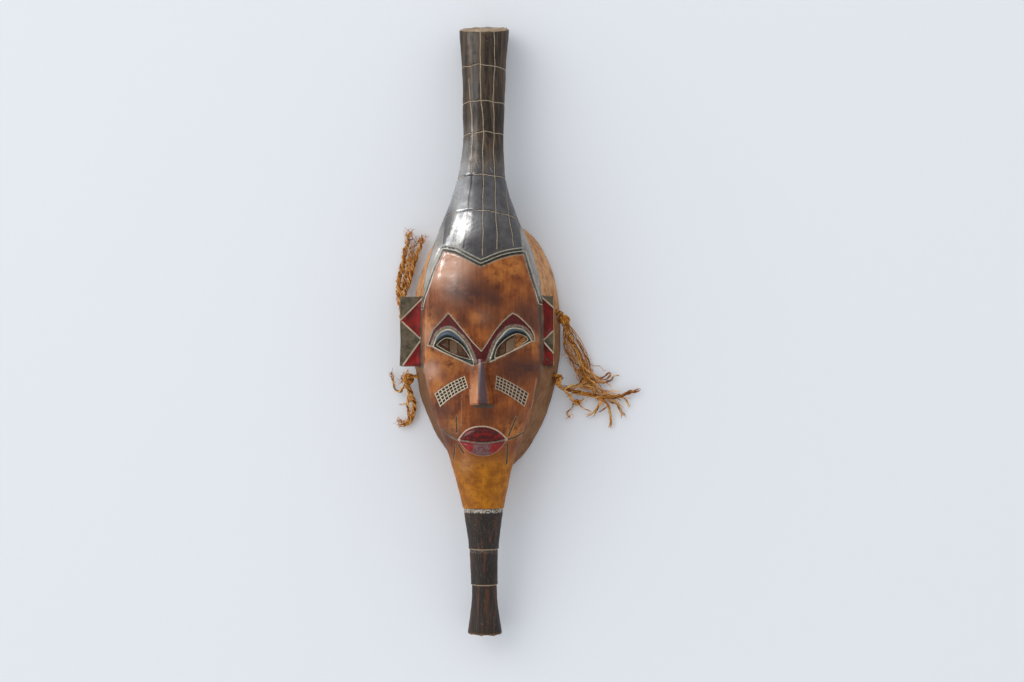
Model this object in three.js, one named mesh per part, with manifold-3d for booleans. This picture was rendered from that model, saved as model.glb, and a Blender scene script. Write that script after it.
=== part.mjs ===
// Carved wooden mask with four raffia ties, lying on its back.
// Millimetres. +X to the viewer's right, +Y toward the end of the headdress, +Z out of the face.
// The origin is on the flat back of the rim, on the middle line, where the headdress springs from it.
import * as THREE from "three";
import Module from "manifold-3d";

const wasm = await Module();
wasm.setup();

// Lengths along the mask.
const HEADDRESS_LENGTH = 194.5;
const FACE_LENGTH = 262;
const BEARD_LENGTH = 119;

// Headdress: half widths and the height of its middle line above the ground.
const HEADDRESS_END_HALF = 23.7;
const HEADDRESS_NECK_HALF = 19.3;
const HEADDRESS_BASE_HALF = 37.5;
const HEADDRESS_END_MIDDLE = 26.5;
const HEADDRESS_NECK_MIDDLE = 38;
const HEADDRESS_BASE_FRONT = 82;
const END_SLANT = 0.36; // the sawn end reaches this much farther for each millimetre nearer the ground
const END_ROUND = 1.2;

// Face: half width at the ears, height of its edge and heights of its front along the middle line.
const FACE_HALF_WIDTH = 56;
const FACE_EDGE_HEIGHT = 44;
const FOREHEAD_FRONT = 85;
const BROW_FRONT = 81;
const CHEEK_FRONT = 75;
const LIP_FRONT = 72;
const CHIN_FRONT = 61;
const CHIN_HALF_WIDTH = 19;

// The form was carved a little to one side of the rim, more at the headdress's base than at its two ends.
const FORM_SHIFT = -1.2;
const CHIN_SHIFT = -0.4;
const BASE_SHIFT = -2.2;
const HEADDRESS_SHIFT = -0.8;

// Beard: half widths at its joints, waist and end, before the step inward at each joint.
const BEARD_JOINT_HALF = 14.5;
const BEARD_LOW_JOINT_HALF = 13.05;
const BEARD_WAIST_HALF = 13.6;
const BEARD_END_HALF = 17.75;
const BEARD_START_MIDDLE = 37;
const BEARD_END_MIDDLE = 22.5;
const BEARD_STEP = 0.5;
const BEARD_END_SHIFT = 0.2; // the beard bends a little to the other side toward its end

// Rim and the wall that rises from it to the face.
const RIM_HALF_WIDTH = 71.5;
const RIM_TOP = 13;
const RIM_WIDEST = 105;
const RIM_BOTTOM = 236;
const RIM_FLAT_EDGE = 5;
const WALL_HEIGHT = 46;
const WALL_LEAN = 0.79; // share of the rim's size that the wall has where it meets the face

// Hollow of the back.
const RIM_THICKNESS = 14.5;
const HOLLOW_TOP = 14;
const HOLLOW_BOTTOM = 217;
const HOLLOW_DEPTH = 57;

// Ears.
const EAR_TOP = 64.5;
const EAR_HEIGHT = 65;
const EAR_FRONT = 45;
const EAR_BACK = 23;
const EAR_LEFT_REACH = 79;
const EAR_RIGHT_REACH = 66.5;
const EAR_CUT = 1.8;

// Brows, eyes and nose.
const FEATURE_SHIFT = 0.6; // the features stand a little to the other side
const BROW_APEX_X = 29.4;
const BROW_APEX_Y = 82.8;
const BROW_END_X = 49.5;
const BROW_END_Y = 108;
const BROW_VEE_Y = 117.6;
const BROW_CUT = 2.2;
const EYE_INNER_X = 11.4;
const EYE_INNER_Y = 124;
const EYE_OUTER_X = 42;
const EYE_OUTER_Y = 108.9;
const LID_WIDTH = 6;
const LENS_BOW = 10.5; // how far the upper curve of the eye bows out
const LENS_CUT = 4.2;
const WINDOW_X = 26.2;
const WINDOW_WIDTH = 9;
const NOSE_TOP = 124;
const NOSE_BOTTOM = 165.5;
const NOSE_TIP = 92;
const NOSE_SHIFT = 0.6;
const NOSE_RIDGE_HALF = 3.9;
const NOSE_TOP_HALF = 5.6;
const NOSE_WING_HALF = 11;

// Cheek grids.
const GRID_INNER_X = 13.8;
const GRID_INNER_Y = 146;
const GRID_OUTER_X = 41;
const GRID_OUTER_Y = 161.6;
const GRID_WIDTH = 12;
const GRID_ROWS = 4;
const GRID_COLUMNS = 9;
const GRID_LINE = 0.9;
const GRID_CUT = 0.8;
const GRID_BOW = 1.6;

// Mouth.
const MOUTH_Y = 200;
const MOUTH_HALF_WIDTH = 22.3;
const UPPER_LIP = 13;
const LOWER_LIP = 13;
const LIP_RISE = 4;
const LIP_GAP = 0.8;
const LIP_FALL = 8;

// Incised lines and the hairline.
const LINE_WIDTH = 1.2;
const LINE_CUT = 0.8;
const HAIR_CORNER_X = 36.5;
const HAIR_CORNER_Y = 25;
const HAIR_VEE_Y = 39.8;
const HAIR_BAND = 4;
const HAIR_RISE = 0.9;

// Tie holes and raffia.
const HOLE_RADIUS = 3.2;
const HOLE_UPPER_Y = 78;
const HOLE_LOWER_Y = 138.5;
const HOLE_HEIGHT = 16.5;
const HOLE_LEAN = 0.36; // rise of the hole for each millimetre outward
const HOLE_GAP = 0.7;
const STRAND_RADIUS = 1.7;
const RAFFIA_REACH = 100;
const KNOT_RADIUS = 4.4;
const INSIDE_KNOT_RADIUS = 4;
const GROUND_GAP = 0.3;

const ROUND_STEPS = 28;
const HEIGHT_OF_ALL = 140;

function solidFrom(points, triangles) {
  const make = (faces) =>
    new wasm.Manifold(
      new wasm.Mesh({
        numProp: 3,
        vertProperties: new Float32Array(points.flat()),
        triVerts: new Uint32Array(faces.flat()),
      }),
    );
  const made = make(triangles);
  return made.volume() > 0 ? made : make(triangles.map(([a, b, c]) => [a, c, b]));
}

// A closed solid through loops of points that all have the same count, with fan ends.
function loft(loops) {
  const count = loops[0].length;
  const points = loops.flat();
  const triangles = [];
  for (let i = 0; i + 1 < loops.length; i += 1) {
    for (let j = 0; j < count; j += 1) {
      const a = i * count + j;
      const b = i * count + ((j + 1) % count);
      triangles.push([a, b, b + count], [a, b + count, a + count]);
    }
  }
  const ends = [loops[0], loops[loops.length - 1]];
  ends.forEach((loop, end) => {
    const middle = points.length;
    points.push([0, 1, 2].map((k) => loop.reduce((sum, p) => sum + p[k], 0) / count));
    const first = end === 0 ? 0 : (loops.length - 1) * count;
    for (let j = 0; j < count; j += 1) {
      const a = first + j;
      const b = first + ((j + 1) % count);
      triangles.push(end === 0 ? [middle, b, a] : [middle, a, b]);
    }
  });
  return solidFrom(points, triangles);
}

// A prism over an outline of x, y points, from one height to another.
function prism(outline, low, high) {
  const flat = outline.map(([x, y]) => new THREE.Vector2(x, y));
  if (THREE.ShapeUtils.isClockWise(flat)) {
    flat.reverse();
  }
  const faces = THREE.ShapeUtils.triangulateShape(flat, []);
  const count = flat.length;
  const points = [...flat.map((p) => [p.x, p.y, low]), ...flat.map((p) => [p.x, p.y, high])];
  const triangles = [];
  faces.forEach(([a, b, c]) => {
    triangles.push([a, c, b], [a + count, b + count, c + count]);
  });
  for (let j = 0; j < count; j += 1) {
    const k = (j + 1) % count;
    triangles.push([j, k, k + count], [j, k + count, j + count]);
  }
  return solidFrom(points, triangles);
}

// Smooth value between rows of [place, value], with no overshoot.
function smooth(rows, at) {
  const last = rows.length - 1;
  if (at <= rows[0][0]) {
    return rows[0][1];
  }
  if (at >= rows[last][0]) {
    return rows[last][1];
  }
  const slope = (i) => (rows[i + 1][1] - rows[i][1]) / (rows[i + 1][0] - rows[i][0]);
  const tangent = (i) => {
    if (i === 0) {
      return slope(0);
    }
    if (i === last) {
      return slope(last - 1);
    }
    const before = slope(i - 1);
    const after = slope(i);
    return before * after <= 0 ? 0 : (2 * before * after) / (before + after);
  };
  let i = 0;
  while (rows[i + 1][0] < at) {
    i += 1;
  }
  const span = rows[i + 1][0] - rows[i][0];
  const t = (at - rows[i][0]) / span;
  const rise = t * t * (3 - 2 * t);
  const lean = t * (1 - t) * span;
  return (
    rows[i][1] + (rows[i + 1][1] - rows[i][1]) * rise +
    lean * ((1 - t) * tangent(i) - t * tangent(i + 1))
  );
}

// The front form: half width, height of its widest line, front and back height at places along it.
const START = -FACE_LENGTH;
const HEAD_ROWS = {
  half: [
    [START, CHIN_HALF_WIDTH],
    [START * 0.93, CHIN_HALF_WIDTH * 1.22],
    [START * 0.82, CHIN_HALF_WIDTH * 1.61],
    [START * 0.69, FACE_HALF_WIDTH * 0.755],
    [START * 0.54, FACE_HALF_WIDTH * 0.94],
    [START * 0.45, FACE_HALF_WIDTH],
    [START * 0.3, FACE_HALF_WIDTH * 0.99],
    [START * 0.2, FACE_HALF_WIDTH * 0.954],
    [START * 0.11, FACE_HALF_WIDTH * 0.862],
    [0, HEADDRESS_BASE_HALF],
    [HEADDRESS_LENGTH * 0.075, HEADDRESS_BASE_HALF * 0.843],
    [HEADDRESS_LENGTH * 0.17, HEADDRESS_BASE_HALF * 0.68],
    [HEADDRESS_LENGTH * 0.27, HEADDRESS_NECK_HALF * 1.12],
    [HEADDRESS_LENGTH * 0.4, HEADDRESS_NECK_HALF],
    [HEADDRESS_LENGTH * 0.65, HEADDRESS_NECK_HALF * 1.03],
    [HEADDRESS_LENGTH, HEADDRESS_END_HALF],
  ],
  edge: [
    [START, BEARD_START_MIDDLE],
    [START * 0.85, FACE_EDGE_HEIGHT - 3],
    [START * 0.6, FACE_EDGE_HEIGHT],
    [0, FACE_EDGE_HEIGHT + 3],
    [HEADDRESS_LENGTH * 0.2, FACE_EDGE_HEIGHT + 1],
    [HEADDRESS_LENGTH * 0.4, HEADDRESS_NECK_MIDDLE],
    [HEADDRESS_LENGTH, HEADDRESS_END_MIDDLE],
  ],
  front: [
    [START, BEARD_START_MIDDLE + CHIN_HALF_WIDTH],
    [START * 0.93, CHIN_FRONT - 3.5],
    [START * 0.86, CHIN_FRONT],
    [START * 0.77, LIP_FRONT],
    [START * 0.68, LIP_FRONT + 1],
    [START * 0.52, CHEEK_FRONT],
    [START * 0.4, BROW_FRONT - 2],
    [START * 0.32, BROW_FRONT + 2],
    [START * 0.2, FOREHEAD_FRONT],
    [START * 0.1, FOREHEAD_FRONT + 0.4],
    [0, HEADDRESS_BASE_FRONT],
    [HEADDRESS_LENGTH * 0.15, HEADDRESS_BASE_FRONT * 0.88],
    [HEADDRESS_LENGTH * 0.4, HEADDRESS_NECK_MIDDLE + HEADDRESS_NECK_HALF],
    [HEADDRESS_LENGTH, HEADDRESS_END_MIDDLE + HEADDRESS_END_HALF],
  ],
  back: [
    [START, BEARD_START_MIDDLE - CHIN_HALF_WIDTH],
    [START * 0.85, RIM_FLAT_EDGE + 4],
    [START * 0.4, RIM_FLAT_EDGE],
    [0, RIM_FLAT_EDGE],
    [HEADDRESS_LENGTH * 0.1, RIM_FLAT_EDGE + 3],
    [HEADDRESS_LENGTH * 0.4, HEADDRESS_NECK_MIDDLE - HEADDRESS_NECK_HALF],
    [HEADDRESS_LENGTH, HEADDRESS_END_MIDDLE - HEADDRESS_END_HALF],
  ],
  shift: [
    [START, CHIN_SHIFT],
    [START * 0.7, FORM_SHIFT],
    [START * 0.15, FORM_SHIFT],
    [HEADDRESS_LENGTH * 0.08, BASE_SHIFT],
    [HEADDRESS_LENGTH * 0.4, HEADDRESS_SHIFT],
  ],
  round: [
    [START, 2],
    [START * 0.6, 2.25],
    [START * 0.2, 2.3],
    [HEADDRESS_LENGTH * 0.3, 2],
  ],
};

function ovalSection(y, half, edge, front, back, round, shift) {
  const loop = [];
  for (let j = 0; j < ROUND_STEPS; j += 1) {
    const turn = (2 * Math.PI * j) / ROUND_STEPS;
    const across = Math.cos(turn);
    const up = Math.sin(turn);
    const height = up > 0 ? front - edge : edge - back;
    loop.push([
      shift + Math.sign(across) * half * Math.abs(across) ** (2 / round),
      y,
      edge + Math.sign(up) * height * Math.abs(up) ** (2 / round),
    ]);
  }
  return loop;
}

// Section of the front form at a place along it, grown outward by a given amount.
function headSection(y, grow, share = 1) {
  const value = (name) => smooth(HEAD_ROWS[name], y);
  const edge = value("edge");
  return ovalSection(
    y,
    (value("half") + grow) * share,
    edge,
    edge + (value("front") + grow - edge) * share,
    edge - (edge - value("back") + grow) * share,
    value("round"),
    value("shift"),
  );
}

// Places along the front form, close on the face and wider apart on the headdress.
const FACE_STEPS = 17;
const HEADDRESS_LINES = [0.2365, 0.4545, 0.6144, 0.7902].map((at) => HEADDRESS_LENGTH * at);
const headPlaces = [];
for (let i = 0; i < FACE_STEPS; i += 1) {
  headPlaces.push(START * (1 - i / FACE_STEPS));
}
[0, 0.07, 0.15].forEach((at) => headPlaces.push(HEADDRESS_LENGTH * at));

// The front form, grown outward by a given amount, with lines of a given depth round the headdress.
function headForm(grow, lineCut = 0) {
  const loops = headPlaces.map((y) => headSection(y, grow));
  HEADDRESS_LINES.forEach((y) => {
    if (lineCut > 0) {
      loops.push(headSection(y - LINE_WIDTH / 2, grow));
      loops.push(headSection(y, grow - lineCut));
      loops.push(headSection(y + LINE_WIDTH / 2, grow));
    } else {
      loops.push(headSection(y, grow));
    }
  });
  const slant = (loop) => loop.map(([x, y, z]) => [x, y - END_SLANT * (z - HEADDRESS_END_MIDDLE), z]);
  loops.push(slant(headSection(HEADDRESS_LENGTH - 3 * END_ROUND, grow)));
  loops.push(slant(headSection(HEADDRESS_LENGTH - END_ROUND, grow, 0.975)));
  loops.push(slant(headSection(HEADDRESS_LENGTH, grow, 0.88)));
  return loft(loops);
}

// The beard: two tapering lengths and a flaring one, each a step narrower than what it grows from.
function beardForm() {
  const joints = [0, 0.325, 0.607];
  const rows = [
    [0, CHIN_HALF_WIDTH],
    [0.034, CHIN_HALF_WIDTH * 0.965],
    [joints[1], BEARD_JOINT_HALF],
    [joints[2], BEARD_LOW_JOINT_HALF],
    [0.75, BEARD_WAIST_HALF],
    [1, BEARD_END_HALF],
  ];
  const ledge = BEARD_STEP / BEARD_LENGTH / 2;
  const places = [-0.02, 0, ledge, 0.15];
  joints.slice(1).forEach((at) => {
    places.push(at, at + ledge, at + 0.15);
  });
  places.push(0.88, 0.985, 1);
  const loops = places.map((at) => {
    const passed = joints.filter((joint) => at > joint).length;
    const rounded = at === 1 ? END_ROUND : 0;
    const half = smooth(rows, at) - passed * BEARD_STEP - rounded;
    const down = Math.max(at, 0);
    const middle = BEARD_START_MIDDLE + (BEARD_END_MIDDLE - BEARD_START_MIDDLE) * down ** 1.3;
    const shift = CHIN_SHIFT * (1 - down) + BEARD_END_SHIFT * down;
    return ovalSection(START - BEARD_LENGTH * at, half, middle, middle + half, middle - half, 2, shift);
  });
  return loft(loops);
}

// Outline of the rim, grown or shrunk by a share about its widest line.
function eggLoop(half, top, bottom, share, height, steps) {
  const loop = [];
  for (let j = 0; j < steps; j += 1) {
    const turn = (2 * Math.PI * j) / steps;
    const across = Math.cos(turn);
    const along = Math.sin(turn);
    const round = along > 0 ? 2.5 : 1.8;
    const reach = along > 0 ? top + RIM_WIDEST : bottom - RIM_WIDEST;
    loop.push([
      Math.sign(across) * half * share * Math.abs(across) ** (2 / round),
      -RIM_WIDEST + Math.sign(along) * reach * share * Math.abs(along) ** (2 / round),
      height,
    ]);
  }
  return loop;
}

const EGG_STEPS = 40;

function shellForm() {
  const layers = [
    [0, 0.99],
    [1.2, 1],
    [RIM_FLAT_EDGE, 1],
    [WALL_HEIGHT * 0.45, 0.94],
    [WALL_HEIGHT * 0.8, 0.86],
    [WALL_HEIGHT, WALL_LEAN],
  ];
  return loft(
    layers.map(([height, share]) => eggLoop(RIM_HALF_WIDTH, RIM_TOP, RIM_BOTTOM, share, height, EGG_STEPS)),
  );
}

function hollowForm() {
  const layers = 6;
  const loops = [];
  loops.push(eggLoop(RIM_HALF_WIDTH - RIM_THICKNESS, -HOLLOW_TOP, HOLLOW_BOTTOM, 1, -1, EGG_STEPS));
  for (let i = 0; i <= layers; i += 1) {
    const turn = ((Math.PI / 2) * i) / layers;
    const height = HOLLOW_DEPTH * Math.sin(turn) ** (2 / 3);
    const share = Math.max(Math.cos(turn) ** (2 / 3), 0.03);
    loops.push(eggLoop(RIM_HALF_WIDTH - RIM_THICKNESS, -HOLLOW_TOP, HOLLOW_BOTTOM, share, height, EGG_STEPS));
  }
  return loft(loops);
}

const grown = new Map();
function headGrown(grow) {
  if (!grown.has(grow)) {
    grown.set(grow, headForm(grow));
  }
  return grown.get(grow);
}

// A plate that follows the face and stands above it, or a cut that follows the face.
const raised = (outline, rise) => prism(outline, FACE_EDGE_HEIGHT, HEIGHT_OF_ALL).intersect(headGrown(rise));
const sunk = (outline, cut, low = FACE_EDGE_HEIGHT) =>
  prism(outline, low, HEIGHT_OF_ALL).subtract(headGrown(-cut));

const mirrored = (outline, side) => outline.map(([x, y]) => [FEATURE_SHIFT + side * x, y]);

// A strip of even width along a path of x, y points.
function strip(path, width) {
  const left = [];
  const right = [];
  path.forEach((p, i) => {
    const before = path[Math.max(i - 1, 0)];
    const after = path[Math.min(i + 1, path.length - 1)];
    const run = [after[0] - before[0], after[1] - before[1]];
    const length = Math.hypot(...run);
    const side = [(-run[1] / length) * (width / 2), (run[0] / length) * (width / 2)];
    left.push([p[0] + side[0], p[1] + side[1]]);
    right.unshift([p[0] - side[0], p[1] - side[1]]);
  });
  return [...left, ...right];
}

// Upper curve of the eye from its inner to its outer corner, moved outward by a given amount.
function lidCurve(out) {
  const points = [];
  const steps = 8;
  const run = [EYE_OUTER_X - EYE_INNER_X, EYE_INNER_Y - EYE_OUTER_Y];
  const length = Math.hypot(...run);
  for (let i = 0; i <= steps; i += 1) {
    const t = i / steps;
    const bow = LENS_BOW * Math.sin(Math.PI * t ** 0.85);
    const along = t + (0.04 * out * (2 * t - 1)) / LID_WIDTH;
    const rise = bow + out * Math.sin(Math.PI * (0.12 + 0.76 * t)) ** 0.6;
    points.push([
      EYE_INNER_X + run[0] * along - (run[1] / length) * rise,
      -EYE_INNER_Y + run[1] * along + (run[0] / length) * rise,
    ]);
  }
  return points;
}

function lensOutline() {
  const below = [
    [EYE_OUTER_X - 9, -EYE_OUTER_Y - 5.8],
    [EYE_INNER_X + 9, -EYE_INNER_Y + 2.6],
  ];
  return [...lidCurve(0), ...below];
}

function socketOutline() {
  return [
    [0, -BROW_VEE_Y],
    [BROW_APEX_X * 0.5, -BROW_APEX_Y - 16],
    [BROW_APEX_X, -BROW_APEX_Y],
    [BROW_APEX_X + 12, -BROW_APEX_Y - 8.5],
    [BROW_END_X - 2.5, -BROW_END_Y + 7],
    [BROW_END_X, -BROW_END_Y],
    [BROW_END_X - 4, -BROW_END_Y - 4],
    [EYE_OUTER_X - 8, -EYE_OUTER_Y - 9.5],
    [EYE_INNER_X - 3, -EYE_INNER_Y - 6.5],
    [NOSE_TOP_HALF - 1, -NOSE_TOP - 1],
    [0, -NOSE_TOP - 1],
  ];
}

function carveEyes(body) {
  let made = body;
  [-1, 1].forEach((side) => {
    const lid = prism(mirrored([...lidCurve(LID_WIDTH), ...lidCurve(0.2).reverse()], side), 0, HEIGHT_OF_ALL);
    made = made.subtract(sunk(mirrored(socketOutline(), side), BROW_CUT).subtract(lid));
    made = made.subtract(sunk(mirrored(lensOutline(), side), LENS_CUT));
    const window = [
      [WINDOW_X - WINDOW_WIDTH / 2, -EYE_INNER_Y - 3],
      [WINDOW_X + WINDOW_WIDTH / 2, -EYE_INNER_Y - 3],
      [WINDOW_X + WINDOW_WIDTH / 2, -BROW_APEX_Y],
      [WINDOW_X - WINDOW_WIDTH / 2, -BROW_APEX_Y],
    ];
    const lens = prism(mirrored(lensOutline(), side), FACE_EDGE_HEIGHT - 10, HEIGHT_OF_ALL);
    made = made.subtract(prism(mirrored(window, side), FACE_EDGE_HEIGHT - 10, HEIGHT_OF_ALL).intersect(lens));
  });
  return made;
}

// The nose: a wedge with a flat ridge that rises from between the brows to the tip.
function noseForm() {
  const rows = [
    [NOSE_TOP - 2, NOSE_TOP_HALF, NOSE_RIDGE_HALF * 0.8, BROW_FRONT - 5],
    [NOSE_TOP + 4, NOSE_TOP_HALF * 1.1, NOSE_RIDGE_HALF * 0.9, BROW_FRONT],
    [NOSE_BOTTOM - 12, NOSE_WING_HALF * 0.82, NOSE_RIDGE_HALF, NOSE_TIP - 3.5],
    [NOSE_BOTTOM - 5, NOSE_WING_HALF, NOSE_RIDGE_HALF, NOSE_TIP],
    [NOSE_BOTTOM - 1, NOSE_WING_HALF, NOSE_RIDGE_HALF, NOSE_TIP - 0.5],
    [NOSE_BOTTOM, NOSE_WING_HALF * 0.95, NOSE_RIDGE_HALF * 0.8, NOSE_TIP - 2],
  ];
  const low = CHEEK_FRONT - 12;
  const x = FEATURE_SHIFT + NOSE_SHIFT;
  return loft(
    rows.map(([at, wing, ridge, top]) => [
      [x - wing, -at, low],
      [x - wing, -at, CHEEK_FRONT - 1.5],
      [x - ridge * 1.25, -at, top - 1.6],
      [x - ridge * 0.8, -at, top],
      [x + ridge * 0.8, -at, top],
      [x + ridge * 1.25, -at, top - 1.6],
      [x + wing, -at, CHEEK_FRONT - 1.5],
      [x + wing, -at, low],
    ]),
  );
}

// A lip: half a pad from the parting line to its far edge.
function lipForm(side, reach) {
  const loops = [];
  const steps = 12;
  const around = 10;
  for (let i = 0; i <= steps; i += 1) {
    const t = -1 + (2 * i) / steps;
    const full = Math.max(Math.cos((Math.PI / 2) * t) ** 0.7, 0.08);
    const loop = [];
    for (let j = 0; j < around; j += 1) {
      const turn = (2 * Math.PI * (j + 0.5)) / around;
      const across = Math.sign(Math.cos(turn)) * Math.abs(Math.cos(turn)) ** 0.7;
      const up = Math.sign(Math.sin(turn)) * Math.abs(Math.sin(turn)) ** 0.5;
      loop.push([
        FEATURE_SHIFT + 0.3 + t * MOUTH_HALF_WIDTH,
        -MOUTH_Y + side * (reach / 2 + LIP_GAP / 2) * full + (reach / 2) * full * across,
        LIP_FRONT - LIP_FALL * t * t + LIP_RISE * full * up,
      ]);
    }
    loops.push(loop);
  }
  return loft(loops);
}

// Lines cut along and across each cheek grid, as strips that bow a little upward.
function gridCuts(side) {
  const run = [GRID_OUTER_X - GRID_INNER_X, -(GRID_OUTER_Y - GRID_INNER_Y)];
  const length = Math.hypot(...run);
  const up = [-run[1] / length, run[0] / length];
  const place = (s, w) => [
    GRID_INNER_X + run[0] * s + up[0] * w,
    -GRID_INNER_Y + run[1] * s + up[1] * w + GRID_BOW * Math.sin(Math.PI * s),
  ];
  const cuts = [];
  const bends = 3;
  for (let row = 0; row <= GRID_ROWS; row += 1) {
    const w = GRID_WIDTH * (row / GRID_ROWS - 0.5);
    const path = [];
    for (let i = 0; i <= bends; i += 1) {
      path.push(place(i / bends, w));
    }
    cuts.push(strip(path, GRID_LINE));
  }
  for (let column = 0; column <= GRID_COLUMNS; column += 1) {
    const s = column / GRID_COLUMNS;
    cuts.push(strip([place(s, -GRID_WIDTH / 2), place(s, GRID_WIDTH / 2)], GRID_LINE));
  }
  const lattice = cuts
    .map((outline) => prism(mirrored(outline, side), FACE_EDGE_HEIGHT, HEIGHT_OF_ALL))
    .reduce((all, bar) => all.add(bar));
  return lattice.subtract(headGrown(-GRID_CUT));
}

// Hairline: a raised band from the ear up the side of the forehead, over its corner and down to the middle.
function hairBand(side) {
  const path = [
    [FACE_HALF_WIDTH - 1, -EAR_TOP],
    [FACE_HALF_WIDTH * 0.84, -HAIR_CORNER_Y - 22],
    [HAIR_CORNER_X, -HAIR_CORNER_Y],
    [HAIR_CORNER_X * 0.5, -HAIR_CORNER_Y - 5.5],
    [0, -HAIR_VEE_Y],
  ];
  return raised(mirrored(strip(path, HAIR_BAND), side), HAIR_RISE);
}

function carvedLines() {
  const cuts = [];
  const arch = HEADDRESS_LENGTH * 0.06;
  const archReach = HEADDRESS_BASE_HALF * 0.95;
  cuts.push(sunk(strip([[-archReach, arch - 4], [0, arch], [archReach, arch - 4]], LINE_WIDTH), LINE_CUT));
  const fans = [-0.75, -0.36, 0.06, 0.42, 0.8];
  fans.forEach((share) => {
    const low = [share * HEADDRESS_BASE_HALF, -HAIR_CORNER_Y + 1 - 9 * (1 - Math.abs(share))];
    const high = [share * HEADDRESS_NECK_HALF * 1.2, HEADDRESS_LENGTH * 0.28];
    cuts.push(sunk(strip([low, high], LINE_WIDTH), LINE_CUT));
  });
  // Strokes at the mouth's corners, as shares of its half width from its middle.
  const strokes = [
    [[-1.63, 0.47], [-1, 0.09]],
    [[-1.04, 1.03], [-1.02, 0.37]],
    [[-1.12, -0.16], [-1.21, -0.72]],
    [[1.04, 0.06], [1.72, 0.39]],
    [[1.43, 1], [1.1, 0.23]],
    [[1.06, -0.1], [1, -0.93]],
  ];
  strokes.forEach((path) => {
    const placed = path.map(([x, y]) => [x * MOUTH_HALF_WIDTH, -MOUTH_Y + y * MOUTH_HALF_WIDTH]);
    cuts.push(sunk(strip(placed, LINE_WIDTH), LINE_CUT));
  });
  return cuts;
}

// An ear: a slab on the wall with triangles cut into its front.
function earForm(side, reach) {
  const top = -EAR_TOP;
  const bottom = -EAR_TOP - EAR_HEIGHT;
  const inner = FACE_HALF_WIDTH - 8;
  const outline = [
    [side * inner, top],
    [side * reach, top],
    [side * reach, bottom],
    [side * inner, bottom],
  ];
  const x = (share) => side * (FACE_HALF_WIDTH + 1.5 + (reach - FACE_HALF_WIDTH - 1.5) * share);
  const y = (share) => top - EAR_HEIGHT * share;
  const triangles = [
    [[x(0), y(0.04)], [x(0.94), y(0.36)], [x(0), y(0.6)]],
    [[x(0), y(0.66)], [x(0.8), y(0.97)], [x(0), y(0.97)]],
  ];
  let made = prism(outline, EAR_BACK, EAR_FRONT);
  triangles.forEach((cut) => {
    made = made.subtract(prism(cut, EAR_FRONT - EAR_CUT, HEIGHT_OF_ALL));
  });
  return made;
}

// Heading of a tie hole: it leans down and inward through the wall.
const HOLES = {
  upperLeft: { side: -1, y: -HOLE_UPPER_Y },
  lowerLeft: { side: -1, y: -HOLE_LOWER_Y },
  upperRight: { side: 1, y: -HOLE_UPPER_Y },
  lowerRight: { side: 1, y: -HOLE_LOWER_Y },
};

// Where each outer knot lies, and the strands that run from it along the ground. Each place is a share of
// the raffia's reach: first outward from the rim's widest line, then along the mask from the tie's hole.
const TIES = [
  {
    name: "raffia_tie_upper_left",
    hole: HOLES.upperLeft,
    knot: [0.08, -0.02],
    knotHeight: 0.12,
    strands: [
      [[0.14, 0.1], [0.115, 0.28], [0.055, 0.5], [0.025, 0.78]],
      [[0.09, 0.18], [0.05, 0.33], [-0.015, 0.5], [-0.1, 0.73]],
      [[0.165, 0.12], [0.125, 0.33], [0.075, 0.58]],
    ],
  },
  {
    name: "raffia_tie_lower_left",
    hole: HOLES.lowerLeft,
    knot: [0.06, -0.035],
    knotHeight: 0.10,
    strands: [
      [[0.015, -0.155], [0.005, -0.275], [0.035, -0.405], [0.145, -0.435]],
      [[0.125, -0.145], [0.195, -0.115], [0.205, -0.025], [0.22, 0.05]],
      [[0.045, -0.215], [0.02, -0.365], [0.065, -0.475]],
    ],
  },
  {
    name: "raffia_tie_upper_right",
    hole: HOLES.upperRight,
    knot: [0.055, -0.07],
    knotHeight: 0.14,
    strands: [
      [[0.085, -0.19], [0.205, -0.35], [0.275, -0.47], [0.395, -0.72]],
      [[0.055, -0.2], [0.045, -0.3], [0.115, -0.45], [0.215, -0.6]],
      [[0.105, -0.16], [0.265, -0.44], [0.435, -0.555], [0.56, -0.6]],
    ],
  },
  {
    name: "raffia_tie_lower_right",
    hole: HOLES.lowerRight,
    knot: [0.05, -0.085],
    knotHeight: 0.10,
    strands: [
      [[0.125, -0.145], [0.305, -0.19], [0.575, -0.19], [0.76, -0.135]],
      [[0.165, -0.215], [0.255, -0.375], [0.315, -0.385], [0.465, -0.5]],
      [[0.105, -0.215], [0.075, -0.355], [0.095, -0.4]],
      [[0.325, -0.225], [0.505, -0.265], [0.615, -0.385]],
    ],
  },
];

// A tube along a path of points, with its own radius at each.
function tube(path, radii, around = 5) {
  const loops = path.map((p, i) => {
    const before = new THREE.Vector3(...path[Math.max(i - 1, 0)]);
    const after = new THREE.Vector3(...path[Math.min(i + 1, path.length - 1)]);
    const run = after.sub(before).normalize();
    const side = new THREE.Vector3(0, 0, 1).cross(run);
    if (side.length() < 0.2) {
      side.set(0, 1, 0).cross(run);
    }
    side.normalize();
    const up = run.clone().cross(side).normalize();
    const loop = [];
    for (let j = 0; j < around; j += 1) {
      const turn = (2 * Math.PI * j) / around;
      loop.push(
        new THREE.Vector3(...p)
          .addScaledVector(side, radii[i] * Math.cos(turn))
          .addScaledVector(up, radii[i] * Math.sin(turn))
          .toArray(),
      );
    }
    return loop;
  });
  return loft(loops);
}

// A place on the middle line of a tie hole, at a distance outward from the wall's face.
const WALL_FACE = RIM_HALF_WIDTH * 0.955;
function holePlace({ side, y }, out) {
  return [side * (WALL_FACE + out), y, HOLE_HEIGHT + HOLE_LEAN * out];
}

function holeForm(hole) {
  return tube([holePlace(hole, 4.5), holePlace(hole, -18)], [HOLE_RADIUS, HOLE_RADIUS], 10);
}

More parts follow.
